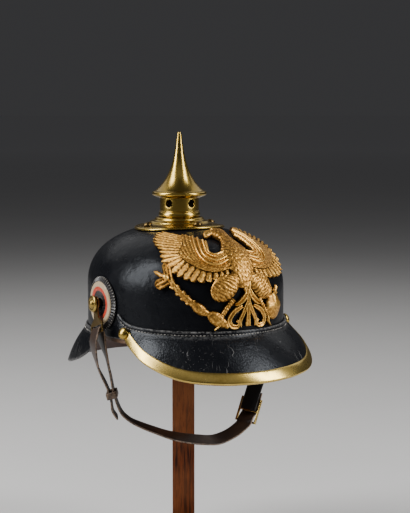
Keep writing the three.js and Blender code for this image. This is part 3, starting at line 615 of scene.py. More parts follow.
class Finish:
    """A finish, painted as one material the first time that a piece asks for it."""

    name: str = "finish"

    def material(self) -> bpy.types.Material:
        """The finish's material.

        Returns:
            The material.
        """
        made = bpy.data.materials.get(self.name)
        if made:
            return made
        made = bpy.data.materials.new(self.name)
        made.use_nodes = True
        made.node_tree.nodes.clear()
        graph = Graph(made.node_tree)
        shader = graph.add("ShaderNodeBsdfPrincipled")
        graph.add("ShaderNodeOutputMaterial", {"Surface": shader.outputs[0]})
        for socket, value in self.paint(graph).items():
            graph.put(shader.inputs[socket], value)
        return made

    def paint(self, graph: Graph) -> dict[str, object]:
        """Values and outputs for the shader's inputs."""
        raise NotImplementedError


@dataclass(frozen=True)
class Lacquer(Finish):
    """Black lacquered leather, with grain, scuffs and edges worn paler."""

    name: str
    black: Colour = (0.0042, 0.0045, 0.0058)
    worn: Colour = (0.17, 0.165, 0.16)
    gloss: float = 0.24
    shine: float = 0.24
    grain: float = 760.0
    depth: float = 0.13
    scuffs: float = 0.4
    dents: float = 1.4
    cracks: float = 0.0

    def paint(self, graph: Graph) -> dict[str, object]:
        """Values and outputs for the shader's inputs.

        Args:
            graph: the material's nodes.

        Returns:
            A value or an output for each of the shader's inputs it sets.
        """
        place = graph.place()
        blotch = graph.effect(Effect.mottle(), place, Scale=38.0)
        grain = graph.effect(Effect.grain(), place, Scale=self.grain).outputs[0]
        scratches = graph.effect(Effect.scuffs(), place, Scale=620.0, Amount=self.scuffs).outputs[0]
        patchy = graph.span(graph.noise(place, 420.0, 4.0), 0.38, 0.62)
        edges = graph.sum("MULTIPLY", graph.attribute("relief"), patchy)
        cracks = graph.effect(Effect.cracks(), place, Amount=self.cracks).outputs[0]
        wear = graph.sum("MAXIMUM", graph.sum("MAXIMUM", scratches, cracks), edges)
        rough = graph.scaled(blotch.outputs["Mask"], 0.12, self.gloss)
        rough = graph.sum("ADD", rough, graph.sum("MULTIPLY", wear, 0.3))
        dent = graph.bump(graph.noise(place, 55.0, 2.0), 0.6, self.dents)
        return {
            "Base Color": graph.blend(wear, self.black, self.worn),
            "Roughness": rough,
            "Normal": graph.bump(grain, 0.8, self.depth, dent),
            "Specular IOR Level": self.shine,
            "Specular Tint": (0.86, 0.92, 1.0, 1.0),
        }


@dataclass(frozen=True)
class Hide(Finish):
    """Brown leather, darker in its grain and rubbed along its edges."""

    name: str
    dark: Colour = (0.011, 0.006, 0.0045)
    light: Colour = (0.042, 0.021, 0.013)
    rubbed: Colour = (0.11, 0.065, 0.042)
    rough: float = 0.5
    grain: float = 700.0

    def paint(self, graph: Graph) -> dict[str, object]:
        """Values and outputs for the shader's inputs.

        Args:
            graph: the material's nodes.

        Returns:
            A value or an output for each of the shader's inputs it sets.
        """
        place = graph.place()
        blotch = graph.effect(Effect.mottle(), place, Scale=60.0)
        grain = graph.effect(Effect.grain(), place, Scale=self.grain).outputs[0]
        scratches = graph.effect(Effect.scuffs(), place, Scale=700.0, Amount=0.5).outputs[0]
        tone = graph.blend(blotch.outputs["Mask"], self.dark, self.light)
        edges = graph.sum("MULTIPLY", graph.attribute("relief"), graph.span(blotch.outputs["Fine"], 0.2, 0.8))
        wear = graph.sum("MAXIMUM", edges, scratches)
        rough = graph.scaled(blotch.outputs["Fine"], 0.16, self.rough - 0.08)
        crease = graph.bump(graph.noise(place, 120.0, 4.0), 0.5, 0.5)
        return {
            "Base Color": graph.blend(wear, tone, self.rubbed),
            "Roughness": rough,
            "Normal": graph.bump(grain, 0.7, 0.12, crease),
        }


@dataclass(frozen=True)
class Brass(Finish):
    """Polished brass with tarnish in blotches and fine polishing marks."""

    name: str
    bright: Colour = (0.5, 0.34, 0.078)
    dull: Colour = (0.28, 0.185, 0.038)
    rubbed: Colour = (0.72, 0.53, 0.17)
    polish: float = 0.2
    blotch: float = 60.0

    def paint(self, graph: Graph) -> dict[str, object]:
        """Values and outputs for the shader's inputs.

        Args:
            graph: the material's nodes.

        Returns:
            A value or an output for each of the shader's inputs it sets.
        """
        place = graph.place()
        blotch = graph.effect(Effect.mottle(), place, Scale=self.blotch)
        marks = graph.effect(Effect.scuffs(), place, Scale=1500.0, Amount=0.8).outputs[0]
        fine = graph.span(blotch.outputs["Fine"], 0.0, 1.0, 0.55, 1.0)
        tarnish = graph.sum("MULTIPLY", blotch.outputs["Mask"], fine)
        rough = graph.scaled(tarnish, 0.08, self.polish)
        rough = graph.sum("ADD", rough, graph.sum("MULTIPLY", marks, 0.06))
        tone = graph.blend(tarnish, self.bright, self.dull)
        return {
            "Base Color": graph.blend(graph.attribute("relief"), tone, self.rubbed),
            "Metallic": 1.0,
            "Roughness": rough,
            "Normal": graph.bump(graph.noise(place, 70.0, 2.0), 0.3, 0.08),
        }


@dataclass(frozen=True)
class Gilt(Finish):
    """Gilt chasing with lined feathers, painted near black in its hollows as painted shade and pale gold on
    its ridges as painted highlight.
    """

    name: str
    # The first colour is painted shade for the hollows and the last is painted highlight for the ridges; tone
    # lies between them.
    hollow_painted_shade: Colour = (0.024, 0.009, 0.0025)
    tone: Colour = (0.55, 0.275, 0.058)
    ridge: Colour = (0.96, 0.59, 0.145)
    barbs: float = 0.8
    barb_slant: float = 0.35
    barb_pitch: float = 69.0

    def paint(self, graph: Graph) -> dict[str, object]:
        """Values and outputs for the shader's inputs.

        Args:
            graph: the material's nodes.

        Returns:
            A value or an output for each of the shader's inputs it sets.
        """
        place = graph.place()
        blotch = graph.effect(Effect.mottle(), place, Scale=110.0)
        relief = graph.attribute("relief")
        stipple = graph.cells(place, 400.0)
        speckle = graph.span(stipple, 0.12, 0.62, 0.2, -0.2)
        # The relief attribute carries the eagle's painted shade and highlight, which the ramp below turns
        # into colour.
        shade = graph.sum("ADD", relief, speckle)
        stops = [(0.09, self.hollow_painted_shade), (0.43, self.tone), (0.88, self.ridge)]
        tone = graph.ramp(shade, stops)
        chase = graph.add("ShaderNodeUVMap", uv_map="chase").outputs[0]
        parts = graph.add("ShaderNodeSeparateXYZ", {0: chase}).outputs
        slant = graph.sum("ABSOLUTE", graph.sum("SUBTRACT", parts[0], 0.5))
        drawn = graph.sum("SUBTRACT", parts[1], graph.sum("MULTIPLY", slant, self.barb_slant))
        phase = graph.sum("MULTIPLY", drawn, self.barb_pitch)
        lines = graph.sum("MULTIPLY", graph.sum("SINE", phase), graph.attribute("barbs"))
        tarnish = graph.sum("MULTIPLY", blotch.outputs["Mask"], 0.15)
        rough = graph.span(shade, 0.0, 1.0, 0.55, 0.34)
        hammered = graph.bump(speckle, 0.7, 0.45)
        return {
            "Base Color": graph.blend(tarnish, tone, self.tone),
            "Metallic": 1.0,
            "Roughness": rough,
            "Normal": graph.bump(lines, self.barbs, 0.12, hammered),
        }


@dataclass(frozen=True)
class Rings(Finish):
    """Painted rings of a cockade, read from the share of its radius, with painted shade inside the red ring
    and a painted highlight on the crests of its flutes.
    """

    name: str
    black: Colour = (0.012, 0.012, 0.014)
    cream: Colour = (0.52, 0.4, 0.25)
    red: Colour = (0.55, 0.06, 0.032)
    # Here the worn colour is the pale painted highlight on the flute crests.
    worn: Colour = (0.5, 0.47, 0.42)
    edges: Row = (0.0, 0.423, 0.558, 0.72, 0.96)

    def paint(self, graph: Graph) -> dict[str, object]:
        """Values and outputs for the shader's inputs.

        Args:
            graph: the material's nodes.

        Returns:
            A value or an output for each of the shader's inputs it sets.
        """
        place = graph.place()
        blotch = graph.effect(Effect.mottle(), place, Scale=160.0)
        # The first black, inside the red ring, is painted shade in the cockade's hollow; the last colour is
        # painted highlight on the flute crests.
        colours = (self.black, self.red, self.cream, self.black, self.worn)
        stops = list(zip(self.edges, colours))
        paint = graph.ramp(graph.attribute("relief"), stops, "CONSTANT")
        grime = graph.sum("MULTIPLY", blotch.outputs["Fine"], 0.35)
        rough = graph.span(blotch.outputs["Mask"], 0.0, 1.0, 0.18, 0.34)
        return {
            "Base Color": graph.blend(grime, paint, (0.05, 0.036, 0.026)),
            "Roughness": rough,
            "Specular IOR Level": 0.28,
            "Normal": graph.bump(blotch.outputs["Fine"], 0.3, 0.12),
        }


@dataclass(frozen=True)
class Timber(Finish):
    """Stained wood with its grain along one axis."""

    name: str
    along: Row = (1.0, 1.0, 0.05)
    pale: Colour = (0.15, 0.034, 0.0075)
    dark: Colour = (0.02, 0.0046, 0.0012)
    rubbed: Colour = (0.26, 0.09, 0.03)

    def paint(self, graph: Graph) -> dict[str, object]:
        """Values and outputs for the shader's inputs.

        Args:
            graph: the material's nodes.

        Returns:
            A value or an output for each of the shader's inputs it sets.
        """
        place = graph.place()
        drawn = graph.stretch(place, self.along)
        figure = graph.noise(drawn, 330.0, 5.0, 0.65)
        pores = graph.span(graph.noise(drawn, 1900.0, 2.0), 0.58, 0.66)
        cloud = graph.noise(place, 14.0, 3.0)
        shade = graph.sum("ADD", figure, graph.span(cloud, 0.3, 0.7, -0.04, 0.04))
        stops = [(0.38, self.dark), (0.52, self.pale), (0.64, self.dark)]
        tone = graph.ramp(shade, stops)
        dark = graph.sum("MULTIPLY", pores, 0.6)
        edges = graph.sum("MULTIPLY", graph.attribute("relief"), graph.span(cloud, 0.35, 0.6))
        return {
            "Base Color": graph.blend(dark, graph.blend(edges, tone, self.rubbed), (0.02, 0.007, 0.004)),
            "Roughness": graph.span(figure, 0.2, 0.8, 0.4, 0.6),
            "Specular IOR Level": 0.15,
            "Normal": graph.bump(graph.sum("SUBTRACT", figure, pores), 0.5, 0.15),
        }


@dataclass(frozen=True)
class Thread(Finish):
    """Waxed sewing thread, grey with age."""

    name: str
    clean: Colour = (0.42, 0.39, 0.35)
    soiled: Colour = (0.04, 0.038, 0.036)

    def paint(self, graph: Graph) -> dict[str, object]:
        """Values and outputs for the shader's inputs.

        Args:
            graph: the material's nodes.

        Returns:
            A value or an output for each of the shader's inputs it sets.
        """
        place = graph.place()
        twist = graph.noise(graph.stretch(place, (1.0, 1.0, 3.0)), 1500.0, 2.0)
        soil = graph.span(graph.noise(place, 90.0, 3.0), 0.35, 0.62)
        return {
            "Base Color": graph.blend(soil, self.clean, self.soiled),
            "Roughness": graph.span(twist, 0.3, 0.7, 0.5, 0.75),
            "Normal": graph.bump(twist, 0.6, 0.15),
        }


@dataclass(frozen=True)
class Plaster(Finish):
    """Pale studio floor, painted paler with distance as painted light."""

    name: str
    pale: Colour = (0.66, 0.65, 0.64)
    far_painted_light: Colour = (0.97, 0.97, 0.97)

    def paint(self, graph: Graph) -> dict[str, object]:
        """Values and outputs for the shader's inputs.

        Args:
            graph: the material's nodes.

        Returns:
            A value or an output for each of the shader's inputs it sets.
        """
        place = graph.place()
        cloud = graph.noise(place, 3.0, 3.0)
        shaded = tuple(0.93 * part for part in self.pale)
        away = graph.add("ShaderNodeVectorMath", {0: place}, operation="LENGTH").outputs["Value"]
        near = graph.blend(cloud, self.pale, shaded)
        return {
            # Painted light: the floor turns near white from 2 to 12 m away.
            "Base Color": graph.blend(graph.span(away, 2.0, 12.0), near, self.far_painted_light),
            "Roughness": graph.span(cloud, 0.3, 0.7, 0.7, 0.8),
            "Specular IOR Level": 0.0,
        }


CROWN_LACQUER = Lacquer("crown_lacquer", shine=0.13)
VISOR_LACQUER = Lacquer(
    "visor_lacquer", gloss=0.22, shine=0.2, grain=600.0, depth=0.24, scuffs=0.9, dents=0.9, cracks=0.9
)
STRAP_LACQUER = Lacquer(
    "strap_lacquer", black=(0.009, 0.008, 0.007), worn=(0.06, 0.055, 0.05), gloss=0.36, shine=0.22,
    grain=800.0, depth=0.12, scuffs=0.3, dents=0.3,
)
LINING_HIDE = Hide("lining_hide", dark=(0.05, 0.024, 0.012), light=(0.15, 0.075, 0.036))
VISOR_LINING = Hide("visor_lining", dark=(0.03, 0.013, 0.009), light=(0.075, 0.03, 0.02))
STRAP_HIDE = Hide("strap_hide", light=(0.042, 0.022, 0.0125), rubbed=(0.3, 0.2, 0.13), rough=0.42)
SPIKE_BRASS = Brass("spike_brass", polish=0.22)
TRIM_BRASS = Brass("trim_brass", bright=(0.78, 0.56, 0.16), dull=(0.42, 0.28, 0.06), polish=0.25)
FITTING_BRASS = Brass("fitting_brass", polish=0.22, blotch=130.0)
OLD_BRASS = Brass("old_brass", bright=(0.4, 0.28, 0.075), dull=(0.2, 0.13, 0.035), polish=0.27, blotch=150.0)
DARK_BRASS = Brass(
    "dark_brass", bright=(0.17, 0.11, 0.036), dull=(0.07, 0.044, 0.017), rubbed=(0.26, 0.17, 0.055),
    polish=0.32, blotch=200.0,
)
# Near-black brass for the inside of the spike's neck: painted shade seen through its vents.
SHADE_PAINTED_BRASS = Brass("shade_painted_brass", bright=(0.03, 0.02, 0.01), dull=(0.015, 0.01, 0.006), polish=0.6)
EAGLE_GILT = Gilt("eagle_gilt")
COCKADE_PAINT = Rings("cockade_paint")
POST_WOOD = Timber("post_wood")
FOOT_WOOD = Timber("foot_wood", along=(0.05, 1.0, 1.0))
SEWING_THREAD = Thread("sewing_thread")


# Meshes


def edges_of(verts: Verts) -> list[bmesh.types.BMEdge]:
    """Edges that meet some vertices, each once."""
    return list(dict.fromkeys(edge for vert in verts for edge in vert.link_edges))


def faces_of(verts: Verts) -> list[bmesh.types.BMFace]:
    """Faces that meet some vertices, each once."""
    return list(dict.fromkeys(face for vert in verts for face in vert.link_faces))


def placed(name: str, data: bpy.types.ID) -> bpy.types.Object:
    """An object with some data, linked to the scene.

    Args:
        name: the object's name.
        data: its mesh, light or camera.

    Returns:
        The object.
    """
    thing = bpy.data.objects.new(name, data)
    bpy.context.scene.collection.objects.link(thing)
    return thing


class Blank:
    """A piece in the making: a bmesh in millimetres and the operators that shape it."""

    def __init__(self, node: str | None = None) -> None:
        """Start empty, or from a merged copy of a CAD node.

        Args:
            node: the CAD node.
        """
        self.mesh = bmesh.new()
        if node:
            self.mesh.from_mesh(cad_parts[node].data)
            bmesh.ops.scale(self.mesh, vec=(1 / MM,) * 3, verts=self.mesh.verts)
            bmesh.ops.remove_doubles(self.mesh, verts=self.mesh.verts, dist=0.004)
            flat = math.radians(0.5)
            verts, edges = self.mesh.verts, self.mesh.edges
            bmesh.ops.dissolve_limit(self.mesh, angle_limit=flat, verts=verts, edges=edges)
        # The relief layer keys each finish's colour: worn edges on leather, brass and wood; the cockade's
        # paint rings, with painted shade in its hollow and painted highlight on its flutes; and painted shade
        # and highlight on the eagle.
        self.relief = self.mesh.verts.layers.float.new("relief")
        self.barbs = self.mesh.verts.layers.float.new("barbs")
        self.chase = self.mesh.loops.layers.uv.new("chase")

    def patch(
        self, across: int, along: int, place: Place, length: float = 10.0, inside: Callable | None = None
    ) -> Verts:
        """Lay a grid and carry each of its points to a place.

        Args:
            across: cells across the grid.
            along: cells along it.
            place: a point and its relief, from shares across and along.
            length: the grid's length, for a pattern that follows it.
            inside: whether the second finish goes on a share across.

        Returns:
            The grid's vertices.
        """
        made = bmesh.ops.create_grid(self.mesh, x_segments=across, y_segments=along, size=0.5)["verts"]
        shares = {vert: (vert.co.x + 0.5, vert.co.y + 0.5) for vert in made}
        for vert, (u, v) in shares.items():
            vert.co, vert[self.relief] = place(u, v)
        for face in faces_of(made):
            for loop in face.loops:
                u, v = shares[loop.vert]
                loop[self.chase].uv = (u, v * length / 10.0)
            if inside:
                middle = sum(shares[vert][0] for vert in face.verts) / len(face.verts)
                face.material_index = int(inside(middle))
        return made

    def skirt(self, verts: Verts, foot: float) -> None:
        """Draw a patch's open edges down to a height.

        Args:
            verts: the patch's vertices.
            foot: the height.
        """
        edges = [edge for edge in edges_of(verts) if edge.is_boundary]
        for item in bmesh.ops.extrude_edge_only(self.mesh, edges=edges)["geom"]:
            if isinstance(item, bmesh.types.BMVert):
                item.co.z = foot
                # No relief at the foot: on the eagle's gilt this paints the walls down to the plate with
                # painted shade.
                item[self.relief] = 0.0

    def turned(self, rows: Sequence[Row], steps: int, closed: bool = False) -> None:
        """Spin a profile about Z.

        Args:
            rows: radius, height and, if wanted, relief of the profile's points.
            steps: steps of a full turn.
            closed: whether the profile's last point joins its first.
        """
        old = set(self.mesh.verts)
        line = [self.mesh.verts.new((row[0], 0.0, row[1])) for row in rows]
        for vert, row in zip(line, rows):
            vert[self.relief] = row[2] if len(row) > 2 else 0.0
        ends = line[1:] + line[:1] if closed else line[1:]
        edges = [self.mesh.edges.new(pair) for pair in zip(line, ends)]
        bmesh.ops.spin(
            self.mesh, geom=line + edges, cent=(0, 0, 0), axis=(0, 0, 1),
            angle=2 * math.pi, steps=steps, use_merge=True,
        )
        made = [v for v in self.mesh.verts if v not in old]
        bmesh.ops.remove_doubles(self.mesh, verts=made, dist=WELD)
        made = [v for v in self.mesh.verts if v not in old]
        bmesh.ops.recalc_face_normals(self.mesh, faces=faces_of(made))

    def loft(
        self, section: int, stations: int, place: Place, length: float = 10.0, inside: Callable | None = None
    ) -> None:
        """Run a closed section along a course and close both ends.

        Args:
            section: points round the section.
            stations: steps along the course.
            place: a point and its relief, from shares round and along.
            length: the course's length.
            inside: whether the second finish goes on a share round.
        """
        old = set(self.mesh.verts)
        made = self.patch(section, stations, place, length, inside)
        bmesh.ops.remove_doubles(self.mesh, verts=made, dist=WELD)
        made = [v for v in self.mesh.verts if v not in old]
        rims = [edge for edge in edges_of(made) if edge.is_boundary]
        bmesh.ops.holes_fill(self.mesh, edges=rims, sides=0)
        bmesh.ops.recalc_face_normals(self.mesh, faces=faces_of(made))

    def bead(self, matrix: Matrix, rings: int, around: int = 8) -> None:
        """Add a small ball placed and shaped by a matrix.

        Args:
            matrix: place and size.
            rings: steps from pole to pole.
            around: steps round it.
        """
        made = bmesh.ops.create_uvsphere(
            self.mesh, u_segments=around, v_segments=rings, radius=1.0, matrix=matrix
        )["verts"]
        # On the eagle's gilt this relief value paints each bead with the painted highlight colour.
        for vert in made:
            vert[self.relief] = 0.9

    def move(self, carry: Callable[[Vector], Vector]) -> None:
        """Carry every vertex by a function of its place."""
        for vert in self.mesh.verts:
            vert.co = carry(vert.co)

    def bevel(self, edges: list[bmesh.types.BMEdge], width: float, segments: int = 3) -> Verts:
        """Round some edges.

        Args:
            edges: the edges.
            width: how far a rounding reaches.
            segments: its steps.

        Returns:
            The new vertices.
        """
        made = bmesh.ops.bevel(
            self.mesh, geom=edges, offset=width, offset_type="OFFSET", segments=segments,
            profile=0.5, affect="EDGES", material=-1, clamp_overlap=True,
        )
        return made["verts"]

    def soften(self, width: float, segments: int = 3, wear: float = 0.6) -> None:
        """Round the sharp edges and rub them.

        Args:
            width: how far a rounding reaches.
            segments: its steps.
            wear: relief of the rounding.
        """
        limit = math.radians(30.0)
        edges = [e for e in self.mesh.edges if e.is_manifold and e.calc_face_angle() > limit]
        for vert in self.bevel(edges, width, segments):
            vert[self.relief] = wear

    def mirrored(self) -> "Blank":
        """The same piece on the wearer's other side.

        Returns:
            The other piece.
        """
        other = Blank()
        other.mesh.free()
        other.mesh = self.mesh.copy()
        other.relief = other.mesh.verts.layers.float["relief"]
        other.barbs = other.mesh.verts.layers.float["barbs"]
        other.chase = other.mesh.loops.layers.uv["chase"]
        bmesh.ops.scale(other.mesh, vec=(-1, 1, 1), verts=other.mesh.verts)
        bmesh.ops.reverse_faces(other.mesh, faces=other.mesh.faces)
        return other

    def settle(
        self, name: str, finishes: Sequence[Finish], slot: Slot, nodes: Sequence[str] = (),
        lift: float = SEAM, crease: float = 38.0,
    ) -> None:
        """Turn the blank into a piece of the part.

        Args:
            name: the piece's name.
            finishes: its materials.
            slot: the record's slot; not used.
            nodes: CAD nodes that it stands for.
            lift: height added to the blank's own.
            crease: angle in degrees past which an edge stays sharp.
        """
        limit = math.radians(crease)
        for face in self.mesh.faces:
            face.smooth = True
        for edge in self.mesh.edges:
            edge.smooth = edge.is_manifold and edge.calc_face_angle() < limit
        bmesh.ops.translate(self.mesh, vec=(0, 0, lift), verts=self.mesh.verts)
        bmesh.ops.scale(self.mesh, vec=(MM,) * 3, verts=self.mesh.verts)
        data = bpy.data.meshes.new(name)
        self.mesh.to_mesh(data)
        self.mesh.free()
        for finish in finishes:
            data.materials.append(finish.material())
        piece = placed(name, data)
        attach(piece, "root")
        if nodes:
            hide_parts(*nodes)
        LOG.info("%s: %d faces", name, len(data.polygons))


@dataclass(frozen=True)
class Stud:
    """A domed stud with an upright edge on a flat seat."""

    radius: float
    rise: float
    wall: float
    steps: int
    arc_steps: int = 9

    def profile(self) -> list[Row]:
        """Radius and height from the top of the dome to the middle of the seat.

        Returns:
            The profile's points.
        """
        arc = [i / self.arc_steps * math.pi / 2 for i in range(self.arc_steps + 1)]
        cap = [(self.radius * math.sin(a), self.wall + (self.rise - self.wall) * math.cos(a)) for a in arc]
        return [*cap, (self.radius, 0.0), (0.0, 0.0)]

    def build(self, node: str, finish: Finish, spot: Vector, normal: Vector) -> None:
        """Set the stud in the place of a CAD node.

        Args:
            node: the node.
            finish: the stud's brass.
            spot: middle of its seat.
            normal: direction that it faces.
        """
        stand = Vector((0, 0, 1)).rotation_difference(normal).to_matrix().to_4x4()
        stand.translation = spot
        blank = Blank()
        blank.turned(self.profile(), self.steps)
        blank.move(lambda point: stand @ point)
        blank.settle(f"{node}_brass", [finish], Slot.BRASS, [node])


def dress_node(node: str, suffix: str, finish: Finish, slot: Slot, width: float, segments: int = 3) -> None:
    """Round the edges of a CAD node's copy and give it a finish.

    Args:
        node: the node, whose name starts the piece's own.
        suffix: the end of the piece's name.
        finish: its material.
        slot: the record's slot.
        width: how far a rounding reaches.
        segments: steps of a rounding.
    """
    blank = Blank(node)
    blank.soften(width, segments)
    blank.settle(f"{node}_{suffix}", [finish], slot, [node], lift=0.0)


# Leather


@dataclass
class Crown:
    """The lacquered leather crown and the band inside its rim."""

    steps: int = 144
    cap_steps: int = 34
    rim_round: float = 1.25
    sag: float = 0.45
    band_leather: float = 1.3
    band_gap: float = 0.5
    band_drop: float = 4.0
    band_top: float = 30.0
    band_wave: float = 0.5
    heart: float = 30.0

    def profile(self) -> list[Row]:
        """Radius, height and wear from the top, round the rim and back up inside.

        Returns:
            The profile's points.
        """
        form = CROWN
        rows: list[Row] = []
        for i in range(self.cap_steps + 1):
            share, height = form.cap((1 - i / self.cap_steps) * math.pi / 2)
            rows.append((form.nominal * (share if i else 0.0), height, 0.0))
        for i in range(1, 9):
            rows.append((form.nominal, mix(form.wall_top, form.rim + self.rim_round, i / 8), 0.0))
        middle = form.nominal - self.rim_round
        for i in range(1, 6):
            angle = i / 6 * math.pi
            out = self.rim_round * math.cos(angle)
            rows.append((middle + out, form.rim + self.rim_round * (1 - math.sin(angle)), 0.8))
        inner = form.nominal - form.leather
        rows.append((inner, form.rim + self.rim_round, 0.0))
        inside_steps = self.cap_steps // 2
        for i in range(inside_steps + 1):
            share, height = form.cap(i / inside_steps * math.pi / 2, form.leather)
            rows.append((inner * (share if i < inside_steps else 0.0), height, 0.0))
        return rows

    def build_shell(self) -> None:
        """Spin the crown, draw it to its oval and let its leather sag a little."""
        blank = Blank()
        blank.turned(self.profile(), self.steps)
        inner = CROWN.nominal - CROWN.leather
        for face in blank.mesh.faces:
            point = face.calc_center_median()
            share = math.hypot(point.x, point.y)
            face.material_index = int(face.normal.dot(Vector((point.x, point.y, point.z - self.heart))) < 0)
            if share > inner + 0.3 and point.z < CROWN.wall_top:
                face.material_index = 0
        blank.move(CROWN.drawn_out)

        def sagged(point: Vector) -> Vector:
            """A point drawn in by the leather's unevenness.

            Args:
                point: a point of the shell.

            Returns:
                The point drawn in.
            """
            depth = 0.5 + 0.5 * wobble(point, 46.0, 1.7) + 0.2 * wobble(point, 17.0, 4.1)
            out = Vector((point.x, point.y, max(0.0, point.z - CROWN.wall_top))).normalized()
            return point - out * self.sag * depth

        blank.move(sagged)
        blank.settle("crown_leather", [CROWN_LACQUER, LINING_HIDE], Slot.BLACK_LEATHER, ["crown_shell"])

    def build_band(self) -> None:
        """Spin the sweatband and wave its lower edge."""
        outer = CROWN.nominal - CROWN.leather - self.band_gap
        inner = outer - self.band_leather
        foot = CROWN.rim - self.band_drop
        corners = [
            (outer, 10.0), (outer, self.band_top), (inner, self.band_top), (inner, foot), (outer, foot),
        ]
        rows = [(r, z, 0.8 * ease(foot + 2.5, foot, z)) for r, z in rounded_ring(corners, 0.5)]
        blank = Blank()
        blank.turned(rows, self.steps, closed=True)

        def waved(point: Vector) -> Vector:
            """A point of the band raised or lowered near its foot."""
            low = ease(10.0, foot, point.z)
            return point + Vector((0, 0, low * self.band_wave * wobble(point, 24.0, 2.2)))

        blank.move(lambda point: waved(CROWN.drawn_out(point)))
        blank.settle("sweatband_leather", [LINING_HIDE], Slot.BROWN_LEATHER, ["sweatband"])

    def build(self) -> None:
        """Build the shell and its band."""
        self.build_shell()
        self.build_band()


@dataclass
class Visor:
    """A leather visor sewn to the crown by its flange."""

    name: str
    rows: Sequence[Row]
    middle: float
    half: float
    steps: int
    spring: Sequence[Row] = ((0, 0), (180, 0))
    leather: float = 2.4
    flange: float = 2.0
    flange_depth: float = 4.5
    bulge: float = 2.2
    edge_round: float = 0.7
    arch_steps: int = 14
    stitch_pitch: float = 3.3
    stitch_drop: float = 3.6
    stitch_size: Row = (1.3, 0.55, 0.5)
    stitch_tilt: float = 0.12
    sew_from: float = 0.012
    sew_steps: int = 1200

    def __post_init__(self) -> None:
        """Make the rows readable between their turns."""
        self.table = Table(self.rows)
        self.lifts = Table(self.spring)

    def off_front(self, degrees: float) -> float:
        """Angle of a turn from the front, from 0 to 180 degrees."""
        return abs(degrees) if degrees <= 180 else 360 - degrees

    def degrees(self, share: float) -> float:
        """Turn at a share of the visor's length."""
        return self.middle - self.half + 2 * self.half * share

    def sizes(self, degrees: float) -> tuple[float, float, float]:
        """Seam height, reach and lip height at a turn."""
        turn = self.off_front(degrees)
        return self.table.read(1, turn), self.table.read(2, turn), self.table.read(3, turn)

    def arch(self, degrees: float) -> Callable[[float], Vector]:
        """The visor's upper line from its bend to its lip, as a function of a share.

        Args:
            degrees: the turn.

        Returns:
            The line, with places out of the rim and up from the seam.
        """
        seam, reach, lip = self.sizes(degrees)
        bend = Vector((GAP + self.flange + 0.2, seam - self.flange_depth))
        lift = math.radians(self.lifts.read(1, -degrees)) if degrees < 0 else 0.0
        slope = Matrix.Rotation(lift, 2) @ (Vector((reach, lip)) - bend)
        edge = bend + slope
        swell = Vector((-slope.y, slope.x)).normalized()
        bulge = self.bulge * ease(8.0, 40.0, slope.length)
        knee = bend.lerp(edge, 0.5) + swell * 2 * bulge
        return lambda t: bend * (1 - t) ** 2 + knee * 2 * t * (1 - t) + edge * t * t

    def skin(self, degrees: float) -> list[tuple[Vector, float]]:
        """Points of the upper line from the flange's top to the lip, with their wear.

        Args:
            degrees: the turn.

        Returns:
            Place out of the rim and up, and wear, of each point.
        """
        seam = self.sizes(degrees)[0]
        arch = self.arch(degrees)
        out, soft = GAP + self.flange, self.edge_round
        line = [(Vector((out - soft, seam)), 1.0), (Vector((out - 0.3 * soft, seam - 0.3 * soft)), 1.0)]
        line.append((Vector((out, seam - soft)), 0.7))
        line.append((Vector((out, seam - 0.5 * self.flange_depth)), 0.0))
        start, corner, end = Vector((out + 0.1, seam - 0.72 * self.flange_depth)), arch(0.0), arch(0.1)
        for t in (0.0, 0.3, 0.6, 1.0):
            point = start * (1 - t) ** 2 + corner * 2 * t * (1 - t) + end * t * t
            line.append((point, 0.35 * (1 - abs(2 * t - 1))))
        for i in range(1, self.arch_steps + 1):
            t = mix(0.1, 1.0, i / self.arch_steps)
            line.append((arch(t), 0.5 * ease(0.93, 1.0, t)))
        return line

    def section(self, degrees: float) -> list[tuple[Vector, float]]:
        """Closed section: the upper line, a round lip, and the lower line back to the flange.

        Args:
            degrees: the turn.

        Returns:
            Place out of the rim and up, and wear, of each point.
        """
        upper = self.skin(degrees)
        spots = [spot for spot, _ in upper]
        lower = []
        for i, point in enumerate(spots):
            run = (spots[min(i + 1, len(spots) - 1)] - spots[max(i - 1, 0)]).normalized()
            inner = point + Vector((run.y, -run.x)) * self.leather
            inner.x = max(GAP, inner.x)
            lower.append((inner, 0.0))
        lower[0] = (Vector((GAP, spots[0].y)), 0.3)
        run = (spots[-1] - spots[-2]).normalized() * 0.4 * self.leather
        lip = [(spots[-1].lerp(lower[-1][0], 0.5) + run, 0.8)]
        upper[-1] = (spots[-1], 0.6)
        return [*upper, *lip, *reversed(lower)]

    def build(self, node: str) -> None:
        """Run the section round the rim and sew it on.

        Args:
            node: the CAD node that the visor stands for.
        """
        count = len(self.section(self.middle))
        sections = [self.section(self.degrees(i / self.steps)) for i in range(self.steps + 1)]
        half = (count + 1) / 2 / count

        def place(u: float, v: float) -> Spot:
            """Point of the visor and its wear.

            Args:
                u: share across or round.
                v: share along.

            Returns:
                The point and its relief.
            """
            station = round(v * self.steps)
            point, wear = sections[station][round(u * count) % count]
            turn = math.radians(self.degrees(station / self.steps))
            spot = CROWN.rim_point(turn, point.x, point.y)
            away = ease(4.0, 14.0, point.x) * 0.35
            return spot + Vector((0, 0, away * wobble(spot, 30.0, 3.3))), wear

        blank = Blank()
        blank.loft(count, self.steps, place, inside=lambda u: half < u < 1 - 2.5 / count)
        blank.settle(self.name, [VISOR_LACQUER, VISOR_LINING], Slot.BLACK_LEATHER, [node])
        self.sew()

